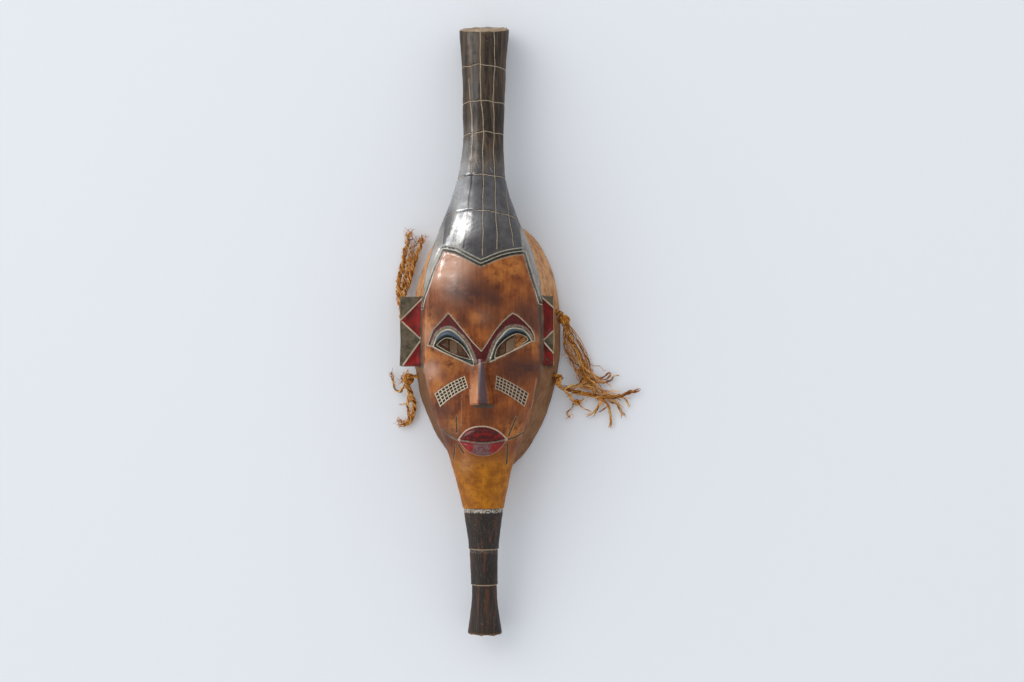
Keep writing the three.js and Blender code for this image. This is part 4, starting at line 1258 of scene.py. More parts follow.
def bare_face(p):
    """Bare varnished wood of the face, with painted highlights and painted shade."""
    tone = (p.cloud * 0.6 + p.broad * 0.4) * 0.68 + p.streak * 0.32
    face = p.mix(tone.ramp(0.36, 0.56), WOOD_DARK, WOOD_MID)
    face = p.mix(tone.ramp(0.5, 0.68), face, WOOD_LIGHT)
    face = p.mix(p.grain.ramp(0.42, 0.68) * 0.22, face, WOOD_GRAIN)
    # A painted highlight: the wood is painted paler where the light shines on it.
    face = p.mix(p.attr("gloss_and_highlight") * 0.5, face, WOOD_HIGHLIGHT)
    # Dark stains, with painted shade on the left jaw.
    stain_and_shade = p.attr("stain_and_shade") * (p.cloud + p.speck * 0.4).ramp(0.38, 0.74)
    face = p.mix(stain_and_shade * 0.88, face, WOOD_STAIN_AND_SHADE)
    # Orange wear, with a painted highlight on the upper left of the forehead.
    worn_and_lit = p.attr("worn_and_lit") * (p.cloud + p.speck * 0.5).ramp(0.55, 0.85)
    face = p.mix(worn_and_lit, face, ORANGE_WEAR_AND_LIGHT)
    chin = (p.along + (p.cloud - 0.5) * 34).ramp(-204, -224) * 0.97
    ochre = p.mix((p.speck * 0.4 + p.cloud * 0.6).ramp(0.4, 0.6), OCHRE_DARK, OCHRE)
    ochre = p.mix(p.grain.ramp(0.5, 0.72) * 0.4, ochre, OCHRE_GRAIN)
    face = p.mix(chin, face, ochre)
    face = p.mix(p.dirt, face, FACE_DIRT)
    pale = (p.attr("pale") + p.jitter).band(-3, 0.55, 0.5) * 0.6
    face = p.mix(pale, face, PALE_EDGE)
    # Painted shade in the creases under the nose and beside the ears.
    crease_shade = (p.attr("crease_shade") + p.jitter).ramp(2.4, 0.9) * 0.85
    face = p.mix(crease_shade, face, CREASE_SHADE)
    return face


def nose_paint(p, face):
    """A dark polished ridge with a painted bluish reflection on it, and the nose's left side painted
    lighter as a painted highlight.
    """
    ridge = p.attr("ridge")
    # The nose's left side is painted lighter: a painted highlight.
    face = p.mix(ridge.ramp(0.9, 1.4) * p.attr("nose_lit_side"), face, NOSE_HIGHLIGHT)
    # The ridge's dark colour carries a painted bluish reflection.
    face = p.mix((ridge + p.jitter * 0.25).ramp(1.15, 0.7) * 0.85, face, NOSE_RIDGE_DARK_AND_REFLECTION)
    return face


def grid_paint(p, face):
    """Cheek grids: pale lines between dark square pits."""
    s = p.attr("grid_s")
    w = p.attr("grid_w")
    p.in_grid = p.both(s.band(-0.012, 1.012, 0.008), w.band(-0.05, 1.05, 0.03))
    cell_s = p.math("PINGPONG", s * GRID_COLUMNS, 0.5) * 3.3
    cell_w = p.math("PINGPONG", w * GRID_ROWS, 0.5) * 3.0
    p.pit = (p.both(cell_s, cell_w) + p.jitter * 0.6).ramp(0.28, 0.56)
    grid_line = p.mix(p.broken * p.attr("grid_pale"), GRID_LINE_WORN, CREAM)
    pit_color = p.mix(p.attr("grid_pale"), PIT_BROWN, PIT_DARK)
    return p.mix(p.in_grid, face, p.mix(p.pit, grid_line, pit_color))


def stroke_paint(p, face):
    """Dark strokes with pale edges, round the mouth."""
    face = p.mix(p.stroke.ramp(1.35, 0.85) * p.blend(p.broken, 0.1, 0.55), face, STROKE_EDGE)
    return p.mix(p.stroke.ramp(0.78, 0.45) * 0.92, face, STROKE_DARK)


def lip_paint(p, face):
    """Patchy red lips, the upper one painted darker as shade, the lower one grey-purple in its middle as a
    painted reflection, with pale edges and parting.
    """
    lip_patch = p.noise(4.0, 4, 0.7).ramp(0.47, 0.62)
    # The upper lip's reds are darker than the lower lip's: painted shade.
    upper = p.mix(lip_patch, LIP_SHADED_DARK, LIP_SHADED_RED)
    face = p.mix(p.lip_up.ramp(0.1, -0.3), face, upper)
    side = (p.math("ABSOLUTE", p.attr("mouth_x") - 0.5) + (p.cloud - 0.5) * 9).ramp(6.5, 9.5)
    # The grey-purple middle of the lower lip is a painted reflection.
    lip_reflection = p.mix(p.speck.ramp(0.42, 0.6), LIP_REFLECTION_DARK, LIP_REFLECTION_PALE)
    lower = p.mix(side, lip_reflection, p.mix(lip_patch, LIP_LOW_DARK, LIP_LOW_RED))
    face = p.mix(p.lip_low.ramp(0.1, -0.3), face, lower)
    rim = p.either(p.lip_up.band(-0.5, 0.75), p.lip_low.band(-0.2, 0.5) * 0.45)
    face = p.mix(rim * p.blend(p.broken, 0.45, 0.95), face, LIP_EDGE)
    parting = p.attr("parting").band(-1, 0.8, 0.25)
    return p.mix(parting * 0.9, face, PARTING_PALE)


def brow_paint(p, face):
    """Maroon brow hollows, with a smudged grey arc over each lid."""
    hollow = p.mix(p.speck.ramp(0.4, 0.6), HOLLOW_DARK, MAROON)
    face = p.mix(p.brow.ramp(0.0, -0.4), face, hollow)
    smudge = p.eye.ramp(3.6, 1.2) * (p.speck + p.cloud * 0.6).ramp(0.66, 0.95)
    grey_arc = p.eye.band(0.2, 3.3, 0.7) * p.brow.ramp(-0.3, -1.4)
    arc = p.mix((p.speck + p.cloud * 0.4).ramp(0.5, 0.8), ARC_DARK, ARC_GREY)
    face = p.mix(grey_arc * 0.9, face, arc)
    return p.mix(smudge * 0.4, face, SMUDGE)


def eye_paint(p, face):
    """Dark lids with pale edges and a painted blue reflection on the upper ones, and the slits between
    them, the right one with a painted patch of sunlight.
    """
    lid_ink = p.mix(p.cloud.ramp(0.4, 0.6), LID_BLACK, LID_TEAL)
    lid_up = p.attr("lid_up")
    # The blue on the upper lids is a painted reflection.
    lid = p.mix((p.lens + p.jitter * 0.6).ramp(2.3, 3.3) * lid_up, lid_ink, LID_REFLECTION_BLUE)
    lid = p.mix(p.eye.ramp(-1.6, -0.6) * lid_up * 0.75, lid, LID_WORN)
    lid = p.mix(p.speck.ramp(0.5, 0.66) * 0.45, lid, LID_SPECK)
    face = p.mix(p.eye.ramp(0.2, -0.15), face, lid)
    eye_edge = p.eye.band(-0.35, 0.5)
    face = p.mix(eye_edge * p.blend(p.broken, 0.55, 1.0), face, CREAM)
    face = p.mix(p.lens.band(0.0, 0.62) * p.blend(p.broken, 0.5, 0.95), face, CREAM)
    shade = (p.streak * 0.5 + p.speck * 0.5).ramp(0.4, 0.6)
    slit = p.mix(shade, SLIT_DARK, SLIT_BROWN)
    # A painted patch of sunlight at the outer end of the right eye's slit.
    glow = p.attr("eye_sunlit") * (p.speck + p.cloud * 0.4).ramp(0.56, 0.78)
    slit = p.mix(glow, slit, SLIT_SUNLIT)
    return p.mix(p.lens.ramp(0.0, -0.3), face, slit)


def brow_edge_paint(p, face):
    """The broken pale line round the brow hollows, with its worn surroundings."""
    edge = p.brow.band(-0.4, 0.5) * p.attr("brow_line")
    face = p.mix(edge * p.blend(p.broken, 0.5, 1.0), face, p.mix(p.ragged, CREAM_DIRTY, CREAM))
    halo = p.brow.band(0.4, 1.9, 0.6) * (p.ragged + p.cloud * 0.6).ramp(0.8, 1.0)
    return p.mix(halo * p.attr("brow_line") * 0.7, face, HALO)


def headdress_paint(p):
    """Blackened wood, with pale scratched lines, worn places and a painted highlight streak."""
    black = p.mix(p.streak.ramp(0.38, 0.62), BLACK, BLACK_BROWN)
    black = p.mix(p.grain.ramp(0.5, 0.72) * 0.6, black, BLACK_GRAIN)
    low_part = p.along.ramp(62, 44)
    low_black = p.mix(p.cloud.ramp(0.4, 0.7), LOW_BLACK, LOW_BLACK_GREY)
    black = p.mix(low_part * 0.75, black, low_black)
    # A painted highlight: a pale grey streak down the left of the lower headdress.
    highlight_streak = p.attr("highlight_streak") * p.blend(p.speck.ramp(0.35, 0.6), 0.35, 0.65)
    black = p.mix(highlight_streak, black, HIGHLIGHT_STREAK_GREY)
    rub = (p.cloud + p.speck * 0.5).ramp(0.86, 1.02) * 0.5
    black = p.mix(rub, black, RUBBED_BROWN)
    end = p.attr("end_along") + (p.speck - 0.5) * 2.4
    shade = (p.cloud * 0.5 + p.ragged * 0.5).ramp(0.4, 0.6)
    end_grain = p.mix(shade, SAWN_DARK, SAWN_PALE)
    black = p.mix(end.ramp(-1.1, -0.5) * 0.9, black, end_grain)
    line_color = p.mix(p.attr("line_dark"), LINE_PALE, LINE_DARK)
    black = p.mix(p.line.ramp(0.55, 0.22) * p.blend(p.broken, 0.35, 0.95), black, line_color)
    black = p.mix(p.attr("crack").ramp(0.55, 0.25), black, CRACK_DARK)
    scratch = (p.attr("scratch") + p.jitter * 0.8).ramp(0.55, 0.1)
    return p.mix(scratch * 0.55, black, SCRATCH_PALE)


def beard_paint(p):
    """Segmented beard: the same black, redder, with pale worn ring edges."""
    beard = p.mix(p.streak.ramp(0.5, 0.66), BEARD_BLACK, BEARD_RED)
    beard = p.mix(p.grain.ramp(0.46, 0.7) * 0.6, beard, BEARD_GRAIN)
    beard = p.mix(p.noise(3.0, 4, 0.7).ramp(0.6, 0.7) * 0.6, beard, BEARD_WORN)
    ring = p.attr("beard_ring") + p.jitter * 0.5
    ring_wear = ring.band(-0.2, 0.55, 0.3) * p.blend(p.broken, 0.25, 0.9)
    beard = p.mix(ring_wear, beard, RING_WORN)
    joint = START - BEARD_JOINTS[1] * BEARD_LENGTH
    second = (p.along + p.jitter * 0.8).band(joint - 3.4, joint - 0.4, 0.5)
    beard = p.mix(second * p.noise(1.3, 4, 0.75).ramp(0.5, 0.66), beard, BAND_GREY)
    first = (p.along + p.jitter * 0.8).band(START - 4.4, START - 0.6, 0.4)
    beard = p.mix(first * p.noise(1.5, 4, 0.75).ramp(0.42, 0.56), beard, BAND_PALE)
    tip = START - BEARD_LENGTH
    end_wear = (p.along + (p.speck - 0.5) * 7).ramp(tip + 2.2, tip + 0.4)
    shade = (p.cloud * 0.5 + p.ragged * 0.5).ramp(0.4, 0.62)
    sawn = p.mix(shade, BEARD_END_DARK, BEARD_END_TAN)
    return p.mix(end_wear * 0.88, beard, sawn)


def hairline_paint(p, face, black):
    """The bands of the hairline, between the face and the headdress."""
    scratchy = p.grain * 0.5 + p.speck * 0.5
    grey_green = p.mix(scratchy.ramp(0.38, 0.62), FLANK_DARK, FLANK_GREY)
    # A painted highlight on the grey-green flank.
    grey_green = p.mix(p.attr("gloss_and_highlight") * 0.85, grey_green, FLANK_HIGHLIGHT)
    dark = p.mix(p.flank, black, grey_green)
    pale = p.mix(p.ragged, HAIRLINE_TAN, HAIRLINE_CREAM)
    pale_line = p.mix(p.broken, HAIRLINE_WORN, pale)
    ink = p.mix(p.speck.ramp(0.45, 0.65), INK_DARK, INK_WORN)
    bands = p.mix(p.hair.band(2.0, 2.9), ink, pale_line)
    bands = p.mix(p.hair.ramp(4.9, 5.2), bands, pale_line)
    flank_bands = p.mix(p.hair.ramp(1.2, 1.5), ink, dark)
    flank_bands = p.mix(p.hair.band(2.1, 2.9, 0.3) * p.broken, flank_bands, FLANK_LINE)
    bands = p.mix(p.flank, bands, flank_bands)
    dark = p.mix(p.hair.ramp(6.1, 5.8), dark, bands)
    smear = (p.hair + p.jitter * 0.9).ramp(-2.2, -0.4) * p.blend(p.flank, 0.75, 0.0)
    face = p.mix(smear * (p.speck + p.cloud * 0.4).ramp(0.5, 0.8), face, SMEAR_TAN)
    rim_line = p.hair.band(-0.9, 0.1) * p.flank
    face = p.mix(rim_line * p.blend(p.broken, 0.5, 0.95), face, RIM_LINE)
    return p.mix(p.hair.ramp(-0.15, 0.15), face, dark)


def rim_paint(p, body):
    """The rim and its sides, bare tan wood with painted shade and painted highlights, and the browner
    hollow back.
    """
    rim_tone = p.streak * 0.55 + p.cloud * 0.45
    tan = p.mix(rim_tone.ramp(0.36, 0.6), TAN_DARK, TAN_LIGHT)
    tan = p.mix(p.grain.ramp(0.45, 0.7) * 0.45, tan, TAN_GRAIN)
    # Painted shade on the rim.
    tan = p.mix(p.attr("rim_shade") * 0.8, tan, TAN_SHADE)
    # A painted highlight on the rim.
    tan = p.mix(p.attr("gloss_and_highlight") * 0.8, tan, TAN_HIGHLIGHT)
    tan = p.mix(p.dirt, tan, TAN_DIRT)
    body = p.mix(p.shell, body, tan)
    back = p.mix(rim_tone.ramp(0.38, 0.62), BACK_DARK, BACK_LIGHT)
    return p.mix(p.inner, body, back)


def ear_paint(p, body):
    """Ears: grey-black slabs with red triangles and pale ridges."""
    slab = p.mix((p.cloud + p.speck * 0.5).ramp(0.5, 0.95), SLAB_DARK, SLAB_GREY)
    red_edge = p.attr("ear_red") + p.jitter * 0.4
    reds = p.mix((p.cloud + p.streak * 0.3).ramp(0.5, 0.78), EAR_RED_DARK, RED)
    slab = p.mix(red_edge.ramp(0.1, -0.3), slab, reds)
    ear_line = p.attr("ear_line") + p.jitter * 0.4
    slab = p.mix(ear_line.ramp(0.85, 0.45) * p.blend(p.broken, 0.55, 1.0), slab, CREAM)
    edge = p.attr("ear_edge").ramp(1.5, 0.7) * p.blend(p.broken, 0.5, 0.9)
    slab = p.mix(edge, slab, EAR_EDGE)
    return p.mix(p.ear, body, slab)


def wood_gloss(p):
    """Varnish on the face, polish on the black, bare wood behind."""
    polished = p.dark_part * (p.along.ramp(84, 40) * p.along.ramp(-90, -60))
    polished = polished * p.blend(p.attr("gloss_and_highlight"), 0.4, 1.0)
    matte_line = p.line.ramp(1.5, 0.5) * p.dark_part
    polished = polished * (1.0 - matte_line * 0.9)
    rough = p.blend(p.dark_part, 0.46, 0.56) + polished * -0.24
    rough = rough + (p.speck - 0.5) * 0.35
    rough = rough + p.bare * 0.22
    p.put(p.shader.inputs["Roughness"], p.both(p.either(rough, 0.2), 0.9))
    coat = p.blend(p.dark_part, 0.07, 0.06) + polished * 0.8
    coat = coat + p.either(p.attr("gloss_and_highlight"), p.flank * 0.8) * 0.75
    coat = coat * p.blend(p.bare, 1.0, 0.12)
    patchy = p.blend((p.cloud + p.speck * 0.4).ramp(0.35, 0.75), 0.5, 1.0)
    coat = coat * p.either(patchy, polished * 0.92)
    p.put(p.shader.inputs["Coat Weight"], coat)
    p.shader.inputs["Coat Roughness"].default_value = 0.2
    p.shader.inputs["Coat IOR"].default_value = 1.95
    p.put(p.shader.inputs["Specular IOR Level"], polished * 0.3 + 0.1)


def wood_relief(p):
    """Fine relief, in millimetres: grain, pores, scratched lines, pits and strokes."""
    relief = p.grain * 0.16 + p.pores * 0.07
    relief = relief + p.streak * 0.22
    relief = relief + p.speck * 0.1
    cut = p.both(p.line.ramp(0.6, 0.1), p.both(p.dark_part, 1.0 - p.bare)) * -0.5
    relief = relief + cut
    relief = relief + p.in_grid * p.pit * -0.5
    relief = relief + p.stroke.ramp(0.8, 0.2) * (1.0 - p.bare) * -0.4
    relief = relief + p.attr("crack").ramp(0.6, 0.2) * -0.6
    p.bump(relief, 0.8)


# The paints of the face, in the order that they lie over one another.
FACE_PAINTS = (nose_paint, grid_paint, stroke_paint, lip_paint, brow_paint, eye_paint, brow_edge_paint)


def wood_material():
    """All the paints of the carved wood, one over another."""
    p = wood_fields()
    body = bare_face(p)
    for paint in FACE_PAINTS:
        body = paint(p, body)
    body = hairline_paint(p, body, headdress_paint(p))
    body = p.mix(p.is_beard, body, beard_paint(p))
    body = ear_paint(p, rim_paint(p, body))
    p.put(p.shader.inputs["Base Color"], body)
    wood_gloss(p)
    wood_relief(p)
    return p.material


def raffia_material():
    """Dry fibre, brown to straw yellow."""
    p = Paint("raffia")
    tone = p.attr("tone")
    streak = p.noise(1.6, 4, 0.7)
    color = p.mix(tone.ramp(0.1, 0.55), FIBRE_BROWN, FIBRE_TAN)
    color = p.mix(tone.ramp(0.5, 0.95), color, FIBRE_STRAW)
    color = p.mix(streak.ramp(0.45, 0.7) * 0.5, color, FIBRE_SHADE)
    p.put(p.shader.inputs["Base Color"], color)
    p.shader.inputs["Roughness"].default_value = 0.62
    p.shader.inputs["Specular IOR Level"].default_value = 0.15
    p.bump(p.noise(0.5, 3, 0.6) * 0.15, 0.6)
    return p.material


# Lines scratched along the headdress, which fan out toward the forehead.
FAN_LINES = [
    [(-2.4, 190), (-3.2, 153), (-1.4, 118), (0.7, 88), (0.5, 62), (1.0, 47), (2.2, 11), (1.8, -31)],
    [(10.6, 190), (10.4, 153), (9.7, 118), (10.2, 88), (10.7, 62), (11.4, 47), (13.9, 11), (15.2, -25)],
    [(-13.8, 142), (-12.0, 119), (-10.1, 89), (-9.9, 62), (-9.9, 47), (-11.7, 12), (-15.5, -24)],
    [(20.6, 42), (25.0, 12), (29.9, -22)],
    [(-22.0, 30), (-24.3, 12), (-30.3, -12)],
]
# A pale grey highlight painted down the lower headdress, and the crack at its end.
HIGHLIGHT_STREAK = [(-16, 78), (-18, 60), (-20.5, 42), (-22.5, 25), (-22, 8), (-20, -8)]
CRACK = [(-0.4, 184), (3.3, 178), (7.2, 180.4), (11.1, 184.4)]
# Places (x, y, radius, strength) where the varnish is glossier and a paler highlight is painted into the
# colour.
GLOSS_AND_HIGHLIGHT = [(-27, -46, 15, 1.0), (-14, -36, 11, 0.8), (-20, -62, 12, 0.5), (-47, -134, 8, 0.9),
         (-50, -100, 8, 0.6), (2, -86, 8, 0.3), (-8, -128, 6, 0.6), (-16, -222, 8, 0.4),
         (-12, 0, 14, 1.0), (-20, 20, 11, 1.0), (-21, 38, 9, 0.9), (-19, 56, 8, 0.7), (-17, 90, 7, 0.4),
         (-38, -30, 9, 1.0), (-43, -48, 7, 0.8), (-3, -2, 8, 0.6), (-61, -48, 10, 1.0)]
SCRATCHES = [
    [(-17.2, 57.8), (-9.7, 61.1), (-4.7, 61.9), (-0.5, 58.5)],
    [(2.0, 55.9), (7.0, 53.4), (10.4, 49.2)],
    [(-14.7, 51.1), (-9.7, 59.4)],
    [(-6.0, 61.0), (-2.5, 53.0)],
    [(4.0, 60.0), (9.0, 50.5)],
    [(-12.0, 60.0), (-6.0, 52.0)],
]
# Pale worn edges of the face, and shade painted dark into its creases: under the nose and where the face
# meets the ears.
PALE_EDGES = [
    [(50.0, -142), (47.0, -160), (42.5, -180), (34.0, -208), (27.5, -228)],
    [(-56.3, -78), (-56.8, -100), (-55.8, -125), (-51.5, -150)],
    [(-17.5, -157.0), (-18.5, -186.0)],
]
PALE_DOT = (-48.2, -141.6)
SHADED_CREASES = [
    [(-5.5, -167.4), (3.0, -168.0), (10.5, -167.6)],
    [(52.6, -66), (54.2, -96), (54.6, -130), (52.5, -146), (48.5, -160)],
    [(-57.5, -68), (-58.0, -100), (-57.5, -128)],
]
# Places (x, y, radius, strength) where the varnish is worn to orange or stained dark; the orange patch on
# the upper left of the forehead is a painted highlight, and the dark patch on the left jaw is painted
# shade.
WORN_AND_LIT = [(31, -40, 8, 1.0), (-5, -88, 5, 0.6), (-36, -40, 12, 0.8),
        (-50, -92, 9, 1.0), (-50, -120, 9, 0.9), (-42, -150, 9, 0.8), (30, -190, 9, 0.9),
        (48, -110, 7, 0.7), (-28, -128, 9, 0.8), (-26, -185, 8, 0.7), (16, -45, 10, 0.7)]
STAINS_AND_SHADE = [(-22, -62, 15, 1.0), (2, -60, 13, 0.8), (14, -72, 10, 0.9), (28, -134, 15, 1.1),
          (30, -178, 10, 0.7), (4, -176, 9, 0.9), (-6, -72, 9, 0.7), (-40, -84, 8, 0.8),
          (38, -80, 12, 0.8), (12, -92, 9, 0.8), (-16, -90, 8, 0.7), (-34, -138, 7, 0.5),
          (0, -212, 6, 0.8), (-30, -193, 11, 1.2), (-36, -172, 9, 0.8), (46, -132, 10, 0.9),
          (46, -92, 9, 0.7), (22, -112, 8, 0.6)]


def blobs(x, y, places):
    """Soft round patches, each with its own radius and strength."""
    total = np.zeros(x.shape)
    for px, py, radius, strength in places:
        total += strength * np.exp(-(((x - px) ** 2 + (y - py) ** 2) / (radius * radius)))
    return np.clip(total, 0, 1.2)


def nearest(x, y, paths):
    """Distance to the nearest of some paths."""
    best = np.full(x.shape, 99.0)
    for path in paths:
        best = np.minimum(best, line_distance(x, y, path))
    return best


def paint_marks(obj):
    """Stores at each vertex the scratched lines, worn places and stains, and where highlights and shade are
    painted.
    """
    x, y, z = vertex_rows(obj.data.vertices, "co").T.astype(float) / MM
    f = form_at(y)
    front = z > f["edge"] - 6
    wobble = 0.35 * np.sin(y / 9.0) + 0.2 * np.sin(y / 3.7 + 1)
    slope = vertex_rows(obj.data.vertex_normals, "vector")[:, 2]
    for i, path in enumerate(FAN_LINES):
        xs, ys = np.array(path[::-1], float).T
        across = (x + wobble - np.interp(y, ys, xs)) / np.clip(slope, 0.3, 1)
        beyond = (y > ys[-1]) | (y < ys[0]) | (slope < 0.3) | ~front
        store(obj, "fan%d" % i, np.where(beyond, np.where(across < 0, -20, 20), across))
    store(obj, "line", np.where(y > -2, ring_distance(x, y), 99))
    store(obj, "line_dark", (np.abs(x + 12.5) < 5) & (y < 50))
    store(obj, "highlight_streak", np.exp(-((line_distance(x, y, HIGHLIGHT_STREAK) / 4.5) ** 2)) * front)
    store(obj, "end_along", np.where(y > 150, y + END_SLANT * (z - HEADDRESS_END_MIDDLE) - L, -99))
    store(obj, "crack", np.where(front, line_distance(x, y, CRACK), 99))
    store(obj, "scratch", np.where(front, nearest(x, y, SCRATCHES), 99))
    dot = np.hypot(x - PALE_DOT[0], y - PALE_DOT[1]) - 0.7
    pale = np.minimum(nearest(x, y, PALE_EDGES), dot)
    store(obj, "pale", np.where(front & (y < -60), pale + 0.25, 99))
    store(obj, "crease_shade", np.where(front, nearest(x, y, SHADED_CREASES), 99))
    store(obj, "worn_and_lit", blobs(x, y, WORN_AND_LIT) * front)
    store(obj, "stain_and_shade", blobs(x, y, STAINS_AND_SHADE) * front)
    store(obj, "gloss_and_highlight", np.minimum(blobs(x, y, GLOSS_AND_HIGHLIGHT), 1) * front)
    store(obj, "mouth_x", x)
    store(obj, "grid_pale", np.where(x < 0, 1.0, 0.55))
    edge_x = np.interp(y, [-76, -40, -26, 10, 30], [50, 41.2, 35.2, 31, 28])
    store(obj, "flank", step(0, 1.5, np.abs(x + 0.6 - 2.6 * (x > 0)) - edge_x) * step(26, -26, y)
          * step(f["edge"] - 15, f["edge"] - 1, z))
    store(obj, "parting", np.where(front, line_distance(x, y, curve(PARTING)), 99))
    u = np.clip((-y - NOSE_TOP) / (NOSE_BOTTOM - NOSE_TOP), 0, 1)
    near_nose = front & (y < -NOSE_TOP + 1) & (y > -NOSE_BOTTOM - 1) & (np.abs(x - NOSE_X) < 11.5)
    middle = 0.6 + 2.4 * u
    store(obj, "ridge", np.where(near_nose, np.abs(x - middle) / (2.4 + 2.0 * u), 9))
    # The nose's left side, where a highlight is painted.
    store(obj, "nose_lit_side", np.where(near_nose & (x < middle), step(0.1, 0.7, u) * 0.8, 0))
    # Where sunlight is painted into the right eye's slit.
    store(obj, "eye_sunlit", (x > 30.5) & (x < 44))
    below = np.minimum(*(line_distance(x, y, LOWER[side]) for side in (-1, 1)))
    store(obj, "lid_up", step(2.6, 4.4, below))
    store(obj, "brow_line", 1 - 0.8 * step(9.5, 7.5, np.abs(x - 0.6)) * step(-118.5, -120.5, y))
    at = (START - y) / BEARD_LENGTH
    ring = np.full(x.shape, 99.0)
    for place in BEARD_JOINTS[1:]:
        ring = np.minimum(ring, np.abs(at - place) * BEARD_LENGTH)
    store(obj, "beard_ring", ring)
    # Painted shade on the rim: darker on its right side, lower down on both sides, and at its foot by the
    # floor.
    dark = step(-95, -150, y) * 1.1 * (x < 0) + 0.75 * step(-60, -110, y) * (x > 0) + 0.2 * (x > 0)
    store(obj, "rim_shade", dark + step(6, 0, z))
    reach = np.where(x < 0, EAR_LEFT_REACH, EAR_RIGHT_REACH)
    store(obj, "ear_edge", np.where(z > EAR_FRONT - 4, reach - np.abs(x) + (x < 0) * 0.6, 3.0))


mask = make_mask()
paint_fields(mask)
paint_marks(mask)
shade(mask, 38)
mask.data.materials.clear()
mask.data.materials.append(wood_material())

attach(mask, "root")
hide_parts("carved_mask")

# Raffia.


# The share of its stated size that a cord's fibre is drawn at, and how flat half of them are.
FIBRE_SHARE = 0.86
FIBRE_FLAT = 1.25


